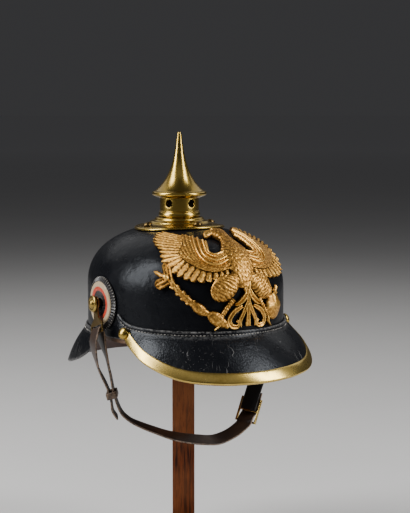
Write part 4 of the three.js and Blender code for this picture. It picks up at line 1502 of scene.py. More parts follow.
    def sew(self) -> None:
        """Set a row of stitches along the flange."""
        blank = Blank()
        last, run = None, 0.0
        for i in range(self.sew_steps + 1):
            degrees = self.degrees(mix(self.sew_from, 1 - self.sew_from, i / self.sew_steps))
            seam = self.sizes(degrees)[0]
            turn = math.radians(degrees)
            spot = CROWN.rim_point(turn, GAP + self.flange + 0.45, seam - self.stitch_drop)
            if last is not None:
                run += (spot - last).length
                if run >= self.stitch_pitch:
                    run = 0.0
                    along = (spot - last).normalized()
                    out = Vector((-math.sin(turn), -math.cos(turn), 0.0))
                    self.stitch(blank, spot, along, out, i)
            last = spot
        name = self.name.replace("leather", "stitches")
        blank.settle(name, [SEWING_THREAD], Slot.BLACK_LEATHER)

    def stitch(self, blank: Blank, spot: Vector, along: Vector, out: Vector, seed: int) -> None:
        """Lay one stitch, a little uneven.

        Args:
            blank: the stitches so far.
            spot: its middle.
            along: direction of the seam.
            out: direction away from the crown.
            seed: a number that sets its unevenness.
        """
        length, height, depth = self.stitch_size
        tilt = self.stitch_tilt * math.sin(12.9 * seed)
        run = (along + Vector((0, 0, tilt))).normalized()
        rise = out.cross(run).normalized()
        axes = Matrix((run * length, rise * height, run.cross(rise) * depth)).transposed()
        blank.bead(Matrix.Translation(spot) @ axes.to_4x4(), 5)


FRONT_VISOR_ROWS = (
    (0, 4, 36, -38.6), (18, 4, 33.5, -39), (36, 4, 28.5, -36), (52, 4.5, 20.5, -25),
    (62, 5.5, 11.5, -14.5), (69, 8, 5, -5.5), (75, 15.5, 2.9, 6),
)
# Degrees by which the old leather has sprung up on the wearer's left, by turn
FRONT_VISOR_SPRING = (
    (0, 0), (10, 2.6), (20, 4.4), (36, 4.9), (52, 4.3), (62, 3.1), (69, 1.7), (75, 0),
)
REAR_VISOR_ROWS = (
    (92, -4.5, 2.7, -13), (101, -4.5, 6.5, -27), (112, -4.5, 13, -38),
    (130, -4.5, 22.5, -46), (155, -4.5, 28, -47.5), (180, -4.5, 30, -47),
)


@dataclass
class VisorTrim:
    """Brass binding of the front visor's lip and the studs at its ends."""

    visor: Visor
    half: float = 69.6
    steps: int = 150
    width: float = 10.0
    under: float = 6.0
    sheet: float = 0.8
    share_at_end: float = 0.88
    ease_from: float = 50.0
    crown: float = 0.35
    stud: Stud = Stud(radius=5.7, rise=3.8, wall=0.3, steps=40)
    stud_turn: float = 68.6
    stud_seat: float = 1.5

    def lip(self, degrees: float) -> tuple[Vector, Vector, Vector, float, float]:
        """Lip's edge, directions back along and off the leather, and the trim's width and gap.

        Args:
            degrees: the turn.

        Returns:
            The edge, the two directions, the width and the gap.
        """
        arch = self.visor.arch(degrees)
        edge, bend = arch(1.0), arch(0.0)
        back = (arch(2 / 3) - edge).normalized()
        over = Vector((back.y, -back.x))
        width = min(self.width, self.share_at_end * (bend - edge).length)
        return edge, back, over, width, GAP * (1 + ease(self.ease_from, self.half, abs(degrees)))

    def section(self, width: float, gap: float) -> list[Vector]:
        """Closed section of the channel, as distances back from the lip and off the leather.

        Args:
            width: width of the upper leaf.
            gap: gap to the leather.

        Returns:
            The section's points.
        """
        outer, inner = [], []
        top, low = gap + self.sheet, -self.visor.leather - gap - self.sheet
        for i in range(11):
            t = i / 10
            swell = self.crown * (1 - (2 * t - 1) ** 2)
            soft = 0.35 * ease(0.1, 0.0, t)
            outer.append(Vector((width * (1 - t), top + swell - soft)))
            inner.append(Vector((width * (1 - t), gap + swell)))
        half, middle = (top - low) / 2, (top + low) / 2
        for i in range(1, 9):
            angle = i / 9 * math.pi
            nose = Vector((-math.sin(angle) * (gap + self.sheet + 0.3), middle + half * math.cos(angle)))
            outer.append(nose)
            inner.append(nose + (Vector((0.5, middle)) - nose).normalized() * self.sheet)
        reach = min(self.under, width / 2)
        for t in (0.0, 0.5, 1.0):
            outer.append(Vector((reach * t, low)))
            inner.append(Vector((reach * t, low + self.sheet)))
        return [*outer, *reversed(inner)]

    def build(self) -> None:
        """Run the channel round the lip and set its studs."""
        count = len(self.section(self.width, GAP))

        def place(u: float, v: float) -> Spot:
            """Point of the channel.

            Args:
                u: share across or round.
                v: share along.

            Returns:
                The point and its relief.
            """
            degrees = mix(-self.half, self.half, v)
            edge, back, over, width, gap = self.lip(degrees)
            local = self.section(width, gap)[round(u * count) % count]
            point = edge + back * local.x + over * local.y
            return CROWN.rim_point(math.radians(degrees), point.x, point.y), 0.0

        blank = Blank()
        blank.loft(count, self.steps, place)
        blank.settle("visor_trim_brass", [TRIM_BRASS], Slot.BRASS, ["visor_trim"])
        for side in Side:
            self.build_stud(side)

    def build_stud(self, side: Side) -> None:
        """Set the domed stud at one end of the trim.

        Args:
            side: the wearer's side.
        """
        turn = math.radians(side.value * self.stud_turn)
        edge, back, over, width, _ = self.lip(side.value * self.stud_turn)
        seat = edge + back * (width / 2) + over * (GAP + self.sheet + self.stud_seat)
        normal = Vector((-math.sin(turn) * over.x, -math.cos(turn) * over.x, over.y))
        spot = CROWN.rim_point(turn, seat.x, seat.y)
        self.stud.build(f"trim_stud_{side.label}", FITTING_BRASS, spot, normal)


# Spike


@dataclass
class Spike:
    """The turned spike, its pierced neck, its base plate and the plate's studs."""

    steps: int = 96
    vent_count: int = 5
    vent_radius: float = 4.0
    vent_height: float = 21.0
    vent_first: float = -9.5
    wall_low: float = 13.2
    wall_high: float = 26.2
    wall_radius: float = 19.4
    wall: float = 2.1
    vent_round: float = 0.6
    stud: Stud = Stud(radius=4.4, rise=3.0, wall=0.4, steps=32)
    stud_distance: float = 35.5
    stud_seat: float = 3.3
    cone: Sequence[Row] = (
        (0, 91.5), (1.1, 91.35), (1.75, 90.6), (2.6, 86), (3.6, 79), (5.2, 69.5), (7.6, 59.5),
        (10.9, 50.5), (15.2, 42.8), (20.4, 36.4), (24.4, 33.0), (26.0, 32.5), (27.0, 31.4),
        (27.2, 30.2), (26.7, 29.0), (25.4, 28.2), (21.4, 26.6),
    )
    collar: Sequence[Row] = ((17.2, 26.5), (20.2, 26.5), (20.2, 25.9), (17.2, 25.9))
    foot: Sequence[Row] = (
        (17.6, 14.2), (19.3, 14.2), (19.35, 13.3), (20.0, 13.1), (20.1, 12.5), (19.6, 12.2),
        (20.3, 11.5), (20.9, 9.4), (20.3, 7.5), (17.2, 7.4),
    )
    base: Sequence[Row] = (
        (0, 7), (22.4, 7), (23.4, 6.6), (24.2, 5.6), (25, 4.7), (26.4, 4.55), (28.6, 4.4), (29.8, 3.9),
        (30.6, 3.0), (32, 2.75), (40.6, 2.55), (41.4, 2.3), (42.2, 2.75), (43.6, 2.85), (44.7, 2.3),
        (45, 1.5), (44.8, 0.6), (36, 0.5), (13, 0.5), (0, 0.5),
    )

    def seated(self, point: Vector) -> Vector:
        """A point of the spike carried to the top of the crown."""
        return point + Vector((0, CROWN.top_centre, CROWN.top))

    def build_cone(self) -> None:
        """Spin the spike."""
        blank = Blank()
        rows = Course(self.cone).points(4)
        blank.turned([*rows, (0.0, self.cone[-1][1])], self.steps)
        blank.move(self.seated)
        blank.settle("spike_brass_cone", [SPIKE_BRASS], Slot.BRASS, ["spike"])

    def vent_panel(self, blank: Blank, middle: float) -> None:
        """Lay one flat panel of the neck's wall, bridged from a square edge to a round vent.

        Args:
            blank: the neck so far.
            middle: the vent's place along the unrolled wall.
        """
        half = math.pi * self.wall_radius / self.vent_count
        low, high = self.wall_low - self.vent_height, self.wall_high - self.vent_height
        corners = [(half, low), (half, high), (-half, high), (-half, low)]
        vent, edge = (
            bmesh.ops.create_circle(blank.mesh, cap_ends=False, radius=radius, segments=40)["verts"]
            for radius in (self.vent_radius, 2 * self.vent_radius)
        )
        for vert in edge:
            quarter = (math.atan2(vert.co.y, vert.co.x) / (math.pi / 2) + 0.5 + 1e-4) % 4
            side, t = int(quarter), quarter % 1.0
            (ax, ay), (bx, by) = corners[side], corners[(side + 1) % 4]
            vert.co = Vector((mix(ax, bx, t), mix(ay, by, t), 0.0))
        bmesh.ops.translate(blank.mesh, verts=vent + edge, vec=(middle, 0, 0))
        faces = bmesh.ops.bridge_loops(blank.mesh, edges=edges_of(vent + edge))["faces"]
        spokes = [e for e in dict.fromkeys(e for f in faces for e in f.edges) if not e.is_boundary]
        bmesh.ops.subdivide_edges(blank.mesh, edges=spokes, cuts=3, use_grid_fill=True)

    def build_neck(self) -> None:
        """Roll five pierced panels into the neck's wall and spin its collar and foot."""

        def rolled(point: Vector) -> Vector:
            """A flat point rolled round the neck.

            Args:
                point: place along and up the unrolled wall.

            Returns:
                The point on the neck.
            """
            angle = math.radians(self.vent_first) + point.x / self.wall_radius
            height = self.vent_height + point.y
            return Vector((-self.wall_radius * math.sin(angle), -self.wall_radius * math.cos(angle), height))

        blank = Blank()
        for i in range(self.vent_count):
            self.vent_panel(blank, 2 * math.pi * self.wall_radius * i / self.vent_count)
        blank.move(rolled)
        bmesh.ops.remove_doubles(blank.mesh, verts=blank.mesh.verts, dist=0.02)
        bmesh.ops.recalc_face_normals(blank.mesh, faces=blank.mesh.faces)
        if sum(f.normal.dot(f.calc_center_median().xy.to_3d()) for f in blank.mesh.faces) < 0:
            bmesh.ops.reverse_faces(blank.mesh, faces=blank.mesh.faces)
        bmesh.ops.solidify(blank.mesh, geom=list(blank.mesh.faces), thickness=self.wall)
        rims = [
            e for e in blank.mesh.edges
            if e.is_manifold and e.calc_face_angle() > 1.0
            and all(self.wall_low + 0.2 < v.co.z < self.wall_high - 0.2 for v in e.verts)
        ]
        blank.bevel(rims, self.vent_round)
        # Faces inside the neck's wall take the second finish, near-black brass that paints the shade inside
        # the neck.
        for face in blank.mesh.faces:
            from_axis = face.calc_center_median().xy.length
            face.material_index = int(from_axis < self.wall_radius - 0.75 * self.wall)
        blank.turned(rounded_ring(self.collar, 0.2), self.steps, closed=True)
        blank.turned(rounded_ring(self.foot, 0.5), self.steps, closed=True)
        blank.move(self.seated)
        blank.settle("spike_neck_brass", [SPIKE_BRASS, SHADE_PAINTED_BRASS], Slot.BRASS, ["spike_neck"], crease=50.0)

    def build_base(self) -> None:
        """Spin the base plate and drape it over the crown under its level seat."""

        def draped(point: Vector) -> Vector:
            """A point lowered with the crown, less where the neck sits."""
            drop = CROWN.height(point.x, point.y + CROWN.top_centre) - CROWN.top
            return self.seated(point + Vector((0, 0, drop * (1 - ease(3.2, 6.4, point.z)))))

        blank = Blank()
        blank.turned(rounded(self.base, 0.7), self.steps)
        blank.move(draped)
        blank.settle("spike_base_brass", [SPIKE_BRASS], Slot.BRASS, ["spike_base"])

    def build_studs(self) -> None:
        """Set the four studs of the base plate."""
        for quarter, side in enumerate(("front", "right", "rear", "left")):
            turn = quarter * math.pi / 2
            x = -self.stud_distance * math.sin(turn)
            y = CROWN.top_centre - self.stud_distance * math.cos(turn)
            z = CROWN.height(x, y)
            slope = Vector((z - CROWN.height(x + 1, y), z - CROWN.height(x, y + 1), 1.0)).normalized()
            spot = Vector((x, y, z)) + slope * self.stud_seat
            self.stud.build(f"base_stud_{side}", DARK_BRASS, spot, slope)

    def build(self) -> None:
        """Build the spike from its tip down."""
        self.build_cone()
        self.build_neck()
        self.build_base()
        self.build_studs()


@dataclass
class RearSpine:
    """Ridged brass strip down the back of the crown."""

    width: float = 13.0
    sheet: float = 1.0
    ridge: float = 0.8
    foot: float = 1.5
    across: int = 14
    steps: int = 70
    base_edge: float = 46.0

    def build(self) -> None:
        """Run the strip from the rim to the base plate."""
        ups, rows = meridian_rows(CROWN)
        back = [CROWN.centre(share) + CROWN.half_length * share - CROWN.top_centre for share, _ in rows]
        top = next(up for up, reach in zip(ups, back) if reach < self.base_edge)
        low = 2 * GAP

        def place(u: float, v: float) -> Spot:
            """Point of the strip: across its face, then back along its underside.

            Args:
                u: share across or round.
                v: share along.

            Returns:
                The point and its relief.
            """
            upper = u < 0.5
            t = 2 * u if upper else 2 - 2 * u
            across = 2 * t - 1
            rise = self.sheet * (1 - 0.6 * across**8) + self.ridge * (1 - abs(across)) ** 1.6
            out = low + (rise if upper and 0 < t < 1 else 0.0)
            up = mix(self.foot, top, v)
            turn = math.pi + across * self.width / 2 / (CROWN.half_width * CROWN.meridian(up)[0])
            return CROWN.at(turn, up, out), 0.0

        blank = Blank()
        blank.loft(2 * self.across, self.steps, place)
        blank.settle("rear_spine_brass", [TRIM_BRASS], Slot.BRASS, ["rear_spine"])


# Sides


@dataclass
class SideFittings:
    """Cockade, post and strap hook on each side."""

    height: float = 22.6
    turn: float = 90.0
    flutes: int = 52
    flute_depth: float = 0.55
    flute_from: float = 20.8
    painted_highlight_from: float = 23.5
    rim: float = 26.0
    hook_round: float = 0.35
    disc: Sequence[Row] = (
        (5.2, 0.5), (25.6, 0.5), (26, 0.9), (25.9, 1.5), (25.2, 1.9), (21.4, 2.9), (20.8, 3.3), (20.2, 4.1),
        (18.6, 4.35), (16.6, 4.2), (16.2, 3.9), (15.8, 4.1), (13.4, 4.0), (12.4, 3.6), (11.8, 3.0),
        (8, 2.4), (5.2, 2.2),
    )
    post: Sequence[Row] = (
        (0, 13.8), (1.8, 13.7), (3.1, 13.2), (3.7, 12.3), (3.9, 11.7), (4.6, 11.5), (5.4, 11.75),
        (6.6, 11.75), (7.5, 11.4), (8.2, 10.6), (8.1, 9.8), (7.4, 9.4), (3, 9.4), (3, 0.3),
        (0, 0.3),
    )

    def cockade(self) -> Blank:
        """A fluted disc bent to the crown's right side, with its radius as its relief and a painted highlight
        on its flute crests.

        Returns:
            The cockade.
        """
        blank = Blank()
        rows = rounded_ring(self.disc, 0.35, 2)
        blank.turned([(r, z, 0.9 * r / self.rim) for r, z in rows], 6 * self.flutes, closed=True)
        # Painted highlight: the crests of the flutes near the rim take the top relief value, which paints
        # them pale.
        for vert in blank.mesh.verts:
            wave = math.cos(self.flutes * math.atan2(vert.co.y, vert.co.x))
            if wave > 0.8 and vert.co.z > 1.2 and vert.co.xy.length > self.painted_highlight_from:
                vert[blank.relief] = 1.0

        def bent(point: Vector) -> Vector:
            """A point fluted near the rim and bent to the crown.

            Args:
                point: a point of the flat disc.

            Returns:
                The point on the crown.
            """
            radius = math.hypot(point.x, point.y)
            wave = math.cos(self.flutes * math.atan2(point.y, point.x))
            share = ease(self.flute_from, self.flute_from + 1.2, radius) if point.z > 0.7 else 0.0
            out = point.z + self.flute_depth * wave * share
            turn = math.radians(self.turn) + point.x / CROWN.half_length
            return CROWN.at(turn, self.height + point.y, out)

        blank.move(bent)
        bmesh.ops.recalc_face_normals(blank.mesh, faces=blank.mesh.faces)
        return blank

    def side_post(self) -> Blank:
        """A rosette on its stem, on the crown's right side.

        Returns:
            The post.
        """
        blank = Blank()
        blank.turned(rounded(self.post, 0.4), 48)
        across = Matrix.Rotation(-math.pi / 2, 4, "Y")
        across.translation = CROWN.at(math.radians(self.turn), self.height, 0.0)
        blank.move(lambda point: across @ point)
        return blank

    def build(self) -> None:
        """Build the right side and mirror it to the left."""
        kinds = (
            ("cockade", self.cockade(), COCKADE_PAINT, Slot.ENAMEL),
            ("side_post", self.side_post(), OLD_BRASS, Slot.BRASS),
        )
        for kind, right, finish, slot in kinds:
            left = right.mirrored()
            right.settle(f"{kind}_right_dressed", [finish], slot, [f"{kind}_right"])
            left.settle(f"{kind}_left_dressed", [finish], slot, [f"{kind}_left"])
        for side in Side:
            dress_node(f"strap_hook_{side.label}", "brass", DARK_BRASS, Slot.BRASS, self.hook_round)


# Strap


CHIN_STRAP_ROWS = (
    (-85, -19.2, -87, 31, 0), (-89.2, -18, -79.5, 31, 0), (-90.6, -17.6, -71, 31, 0),
    (-92, -17, -63.5, 31, 0), (-95.6, -14.8, -53, 29, 0), (-101, -12.6, -40.5, 25, -2),
    (-104.8, -11.4, -27, 16, -8), (-106.4, -11, -15, 6, -14), (-104.8, -11, -5.4, 0, -17.7),
    (-101.9, -11, -0.2, 0, -17.7), (-99, -11.2, -5.4, 0, -17.7), (-97.2, -13, -16, 8, -12),
    (-94.4, -15.6, -29, 20, -5), (-91.6, -17.6, -44, 28, 0), (-89, -19, -60, 31, 0),
    (-85.8, -20, -72, 31, 0), (-80.6, -21, -83, 30, 2), (-72, -22, -91, 26, 5),
    (-62, -23, -96.4, 22, 9), (-48, -24, -102.6, 16, 14), (-30, -24.6, -110, 10, 20),
    (-11, -25, -115.6, 4, 24), (6, -25, -119, -2, 24), (23, -24.6, -121, -10, 20),
    (39, -23.6, -118, -20, 10), (50.5, -22.8, -113, -28, 3), (58.2, -21.7, -108.1, -31, 0),
    (59.9, -21.2, -105.1, -31, 0), (63.6, -19.6, -101.4, -31, 0), (67.8, -17.8, -97.9, -31, 0),
    (69.5, -17.5, -93.5, -31, 0), (75.4, -16.3, -78.8, -31, 0),
)
LEFT_STRAP_ROWS = (
    (104.4, -12, -18, -6, -14), (104.8, -11, -5.4, 0, -17.7), (101.9, -11, -0.2, 0, -17.7),
    (99, -11.2, -5.4, 0, -17.7), (97, -12.6, -18, -8, -12), (92.6, -14.6, -34, -20, -5),
    (85.4, -16.4, -51, -28, 0), (75.8, -18, -68, -31, 0), (69.4, -19.2, -82, -31, 0),
    (63.9, -20.3, -95.4, -31, 0),
)


@dataclass(frozen=True)
class Strap:
    """One length of the chin strap, as a course of its centre line."""

    rows: Sequence[Row]
    width: float = 17.0
    leather: float = 2.0
    per_row: int = 9
    around: int = 44
    curl: float = 0.55

    def build(self, name: str, finish: Finish, slot: Slot, node: str) -> None:
        """Run the strap's rounded section along its course.

        Args:
            name: the piece's name.
            finish: its leather.
            slot: the record's slot.
            node: the CAD node that it stands for.
        """
        course = Course(self.rows, 3)
        stations = (len(self.rows) - 1) * self.per_row

        def place(u: float, v: float) -> Spot:
            """Point of the strap and the wear of its edges.

            Args:
                u: share across or round.
                v: share along.

            Returns:
                The point and its relief.
            """
            x, y, z, swing, drop = course.at(v)
            run = course.heading(v)
            swing, drop = math.radians(swing), math.radians(drop)
            level = math.cos(drop)
            wide = Vector((-math.sin(swing) * level, -math.cos(swing) * level, -math.sin(drop)))
            wide = (wide - run * wide.dot(run)).normalized()
            face = run.cross(wide)
            angle = 2 * math.pi * u
            c, s = math.cos(angle), math.sin(angle)
            across = math.copysign(abs(c) ** 0.22, c) * self.width / 2
            lift = math.copysign(abs(s) ** 0.5, s) * self.leather / 2
            crease = 0.16 * math.exp(-(((abs(across) - 0.41 * self.width) / 0.5) ** 2))
            lift -= math.copysign(crease, lift)
            spot = Vector((x, y, z)) + wide * across + face * lift
            spot += face * self.curl * wobble(Vector((across, 40 * v * len(self.rows) / 10, 0)), 9.0, 5.5)
            return spot, ease(0.44, 0.5, abs(across) / self.width)

        blank = Blank()
        blank.loft(self.around, stations, place, length=10.0 * len(self.rows))
        blank.settle(name, [finish], slot, [node])


@dataclass
class ChinStrap:
    """The two lengths of the chin strap with their slide and buckle."""

    slide_round: float = 1.1
    buckle_round: float = 0.55
    long: Strap = Strap(CHIN_STRAP_ROWS)
    short: Strap = Strap(LEFT_STRAP_ROWS, curl=0.25)

    def build(self) -> None:
        """Build both lengths, the slide and the buckle."""
        self.long.build("chin_strap_leather", STRAP_HIDE, Slot.BROWN_LEATHER, "chin_strap")
        self.short.build("strap_left_leather", STRAP_LACQUER, Slot.BLACK_LEATHER, "strap_left")
        dress_node("strap_slide", "leather", STRAP_HIDE, Slot.BROWN_LEATHER, self.slide_round, 4)
        dress_node("strap_buckle", "brass", FITTING_BRASS, Slot.BRASS, self.buckle_round, 4)


# Eagle


def scales(x: float, y: float, wide: float, tall: float) -> float:
    """Height from 0 to 1 of overlapping small feathers that point down.

    Args:
        x: place across.
        y: place up.
        wide: pitch of the feathers across.
        tall: pitch of their rows.

    Returns:
        The height there.
    """
    top = math.floor(y / tall)
    for row in (top, top - 1):
        column = x / wide - 0.5 * (row % 2)
        side = 2 * (column - round(column))
        edge = 0.6 * (1 - math.sqrt(max(0.0, 1 - side * side)))
        up = y / tall - row - edge
        if up >= 0:
            return max(0.0, 1.0 - 0.55 * up - 0.25 * side * side)
    return 0.1


@dataclass
class Eagle:
    """The gilt plate: an eagle with spread wings, sceptre and orb, bent to the crown.

    It is laid out flat, x to the wearer's left and y up the crown from the seam, in tables of
    x, y, width and height.
    """

    gap: float = 0.7
    fringe_feathers: int = 10
    long_feathers: int = 11
    arm: Sequence[Row] = ((10, 80), (17, 77.5), (24, 76), (27.5, 79), (26, 84), (24, 89), (22, 94))
    inner: Sequence[Row] = (
        (13, 69.5), (20, 66.5), (28, 65), (35, 67.5), (38.5, 74), (37.5, 83), (34, 93),
        (29.5, 102.5),
    )
    middle: Sequence[Row] = (
        (14.5, 60.5), (32, 58), (46, 62), (56, 70), (58, 77), (49, 88), (43, 98), (37, 108.5),
    )
    tip: Sequence[Row] = (
        (15, 55), (26, 52), (40, 50.5), (55, 50.5), (66, 54), (74, 61), (78, 71), (75, 82),
        (73.5, 91), (69, 101), (62, 110), (50, 114),
    )
    body: Sequence[Row] = (
        (-1, 44, 13, 3), (-1.5, 54, 23, 4.4), (0, 64, 30, 5.2), (1, 73, 34, 5.4), (2, 82, 29, 5.2),
        (2.7, 91, 19, 5), (3.6, 99, 14, 4.8), (4, 105, 14, 5),
    )
    head: Sequence[Row] = ((3.8, 99, 13, 4.6), (2.6, 106, 18, 6), (1.5, 112, 19, 6), (0.5, 117, 12, 4))
    beak: Sequence[Row] = (
        (-3, 111.5, 11, 5.4), (-8, 110.5, 9, 5), (-12.5, 108, 6, 4), (-15, 103.5, 2, 2.4),
    )
    thigh: Sequence[Row] = (
        (7, 54, 8, 3.4), (12, 50, 16, 4.2), (18, 46, 21, 4.8), (24.5, 42.4, 22, 4.6),
        (30, 39.8, 18, 3.8), (34, 38.2, 11, 3), (35.4, 37.6, 5, 2.4),
    )
    leg: Sequence[Row] = ((15, 34, 7, 3.4), (20, 27.5, 5, 3.2), (25, 21, 5, 3.4), (29, 16, 6, 3.4))
    stalk: Sequence[Row] = (
        (-2, 50, 15, 3.6), (-1, 43, 9, 3.2), (0, 36, 6, 2.8), (0, 22, 4.6, 2.6), (0, 8, 7, 2),
    )
    scroll: Sequence[Row] = (
        (7, 27, 3, 2.4), (12, 24.5, 4.6, 2.8), (17.5, 21, 5.2, 3), (21.5, 14.5, 5.4, 2.8),
        (18.5, 8.4, 5, 2.6), (12.5, 8.2, 4.2, 2.4), (10.8, 12, 3.4, 2.2), (13.4, 13.4, 2.4, 2),
    )
    curl: Sequence[Row] = ((1, 30, 4, 2.4), (6, 20, 4.5, 2.6), (9.5, 13.5, 4.5, 2.4), (10, 8, 5, 2.2))
    frond: Sequence[Row] = (
        (0.5, 43, 4, 3.2), (3.5, 37, 5.5, 3.8), (8, 32.5, 5.8, 4), (12.5, 29.5, 4.4, 3.6),
        (15.5, 28.6, 2.4, 2.8),
    )
    sceptre: Sequence[Row] = (
        (-20.5, 7.5, 3, 2.2), (-24, 10.5, 8, 3.2), (-29, 13.8, 12.5, 4.2), (-34, 17, 13, 4.4),
        (-38, 19.3, 9.5, 3.8), (-41, 21, 5.5, 3), (-45, 22.8, 9, 4), (-49, 25.4, 10.5, 4.6),
        (-53, 28.4, 8.5, 4), (-57, 31.4, 6, 3.4), (-60, 33.8, 7, 3.6), (-63, 36.4, 6.5, 3.4),
        (-66.5, 39.6, 5.5, 3.2), (-70, 43, 5.5, 3), (-73, 46.6, 5.5, 3), (-75.5, 50.5, 5.5, 3),
    )
    finial: Sequence[Row] = (
        (-77, 50.5, -75.5, 66, 10, 3), (-76, 51.5, -90.5, 45, 10, 3), (-76, 51, -89.5, 58, 5.5, 1),
    )
    orb: Sequence[Row] = (
        (37, 11, 5, 2.4), (37, 12.4, 13, 3.6), (37, 16, 20, 5), (37, 23.5, 25, 6.4),
        (37, 31, 20, 5), (37, 34.6, 13, 3.6), (37, 36, 5, 2.4),
    )
    cross: Sequence[Sequence[Row]] = (
        ((38.5, 33, 3.6, 3), (42.8, 37, 3, 3), (46.5, 41.5, 5, 2.4)),
        ((39, 39.6, 4.6, 2.2), (43.2, 37.4, 3, 2.8), (47.6, 35.2, 4.6, 2.2)),
    )
    # Stretch between the arm's two lines, height and width of each rib
    ribs: Sequence[Row] = ((0.0, 4.3, 2.6), (0.66, 4.8, 2.3), (1.03, 4.8, 2.3))
    beads: int = 16
    bead_height: float = 3.8
    bead_radius: float = 0.95
    # Place, height and radius of the balls that stand for the eye and the finial's body
    eye: Row = (-3.2, 112.4, 5.6, 1.2)
    finial_body: Row = (-78.5, 53.0, 3.6, 3.0)
    sceptre_leaves: int = 9
    leaf_from: float = 0.52
    leaf_pitch: float = 0.05
    leaf_length: float = 6.5
    left_rise: float = 10.0
    tail_shift: float = 2.5
    thigh_shift: float = -1.5
    blank: Blank = field(default_factory=Blank)

    def band(
        self, rows: Sequence[Row], across: int, along: int, relief: Relief = Relief.ROUND,
        detail: Callable[[float, float], float] | None = None,
    ) -> None:
        """Raise a band along a table.

        Args:
            rows: x, y, width and height of the band.
            across: cells across it.
            along: cells along it.
            relief: its cross section.
            detail: height added at a place across and along, in millimetres.
        """
        course = Course(rows)
        length = sum(math.dist(a[:2], b[:2]) for a, b in zip(rows, rows[1:]))

        def place(u: float, v: float) -> Spot:
            """Point of the band and its painted shade.

            Args:
                u: share across or round.
                v: share along.

            Returns:
                The point and its painted shade and highlight.
            """
            x, y, width, height = course.at(v)
            heading = course.heading(v)
            a = 2 * u - 1
            if relief is Relief.ROUND:
                shape = 0.3 + 0.7 * (1 - abs(a) ** 2.4) ** 0.6
            elif relief is Relief.GROOVED:
                shape = 0.55 + 0.45 * (1 - a**8) - 0.4 * math.exp(-((a / 0.34) ** 2))
            else:
                shape = 1.0 - 0.7 * abs(a)
            extra = detail(a * width / 2, v * length) if detail else 0.0
            side = Vector((-heading.y, heading.x)) * (a * width / 2)
            spot = Vector((x + side.x, y + side.y, max(0.4, height) * shape + extra))
            # Painted shade and highlight: brightest on the band's crown and darker down its sides, with a
            # dark painted outline along its edges.
            shade = 0.95 * shape - 0.1 if not detail else 0.22 * shape + 0.5 * extra
            return spot, min(1.0, max(0.0, shade - 0.5 * (abs(a) > 0.97)))

        self.blank.skirt(self.blank.patch(across, along, place, length), 0.0)

    def leaf(
        self, root: Vector, tip: Vector, width: float, low: float, high: float,
        ridges: float = 1.0, lean: float = 0.0,
    ) -> None:
        """Raise one feather with ridges along it and a rounded tip.

        Args:
            root: where it starts.
            tip: where it ends.
            width: its full width.
            low: height of its root.
            high: height of its tip.
            ridges: number of ridges across it.
            lean: how much one edge lies under the next feather.
        """
        run = tip - root
        side = Vector((-run.y, run.x)).normalized()

        def place(u: float, v: float) -> Spot:
            """Point of the feather and its painted shade.

            Args:
                u: share across or round.
                v: share along.

            Returns:
                The point and its painted shade and highlight.
            """
            a, t = 2 * u - 1, 1 - (1 - v) ** 1.5
            blunt = math.sqrt(max(0.02, 1 - max(0.0, (t - 0.76) / 0.24) ** 2))
            spot = root + run * t + side * (a * 0.5 * width * mix(0.85, 1.0, t) * blunt)
            quill = (0.5 + 0.5 * math.cos(ridges * math.pi * a)) ** 1.5
            edge = abs(a) ** 6
            rise = mix(low, high, t) + 0.95 * quill - 0.4 * edge + lean * a
            # Painted shade and highlight: dark at the root, where the feather starts under the coverts,
            # bright along its ridges and dark at its edges.
            shade = mix(0.04, 0.3, t) + 0.56 * quill - 0.5 * edge
            return Vector((spot.x, spot.y, rise)), min(1.0, max(0.0, shade))

        verts = self.blank.patch(12, 10, place, run.length)
        for vert in verts:
            vert[self.blank.barbs] = 1.0
        self.blank.skirt(verts, max(0.0, low - 1.0))

    def line(self, rows: Sequence[Row], sign: float) -> Course:
        """One of a wing's lines, which stands taller beside the head on the wearer's left."""
        tall = self.left_rise if sign > 0 else 0.0
        return Course([(sign * x, y + tall * ease(78.0, 94.0, y) * ease(58.0, 28.0, x)) for x, y in rows])

    def wing(self, sign: float) -> None:
        """Lay a wing's long feathers, its scaled coverts, and the ribs and beads of its arm.

        Args:
            sign: 1 for the wearer's left, -1 for the right.
        """
        lines = {name: self.line(getattr(self, name), sign) for name in ("arm", "inner", "middle", "tip")}

        def between(a: str, b: str, share: float, stretch: float) -> Vector:
            """Point between two of the wing's lines."""
            return lines[a].vector(share).lerp(lines[b].vector(share), stretch)

        def sheet(a: str, b: str, reach: float, low: float, high: float, chased: float) -> None:
            """Raise a broad part of the wing between two of its lines, chased with small scales.

            Args:
                a: name of the inner line.
                b: name of the outer line.
                reach: share of the way that it covers.
                low: height at the inner line.
                high: height at the outer edge.
                chased: height of the scales.
            """

            def place(u: float, v: float) -> Spot:
                """Point of the sheet and its painted shade.

                Args:
                    u: share across or round.
                    v: share along.

                Returns:
                    The point and its painted shade and highlight.
                """
                out = u if sign > 0 else 1 - u
                spot = between(a, b, v, reach * out)
                plume = scales(118.0 * v, -(lines[a].vector(v) - spot).length, 4.4, 3.4)
                rise = mix(low, high, out) + chased * plume
                # Painted shade and highlight: pale on the small scales, dark towards the sheet's outer edge,
                # and the plain ground under the long feathers painted near black.
                shade = 0.1 + 0.62 * plume - 0.6 * ease(0.93, 1.0, out)
                return Vector((spot.x, spot.y, rise)), max(0.0, shade) if chased else 0.05

            self.blank.skirt(self.blank.patch(30, 170, place), 0.0)

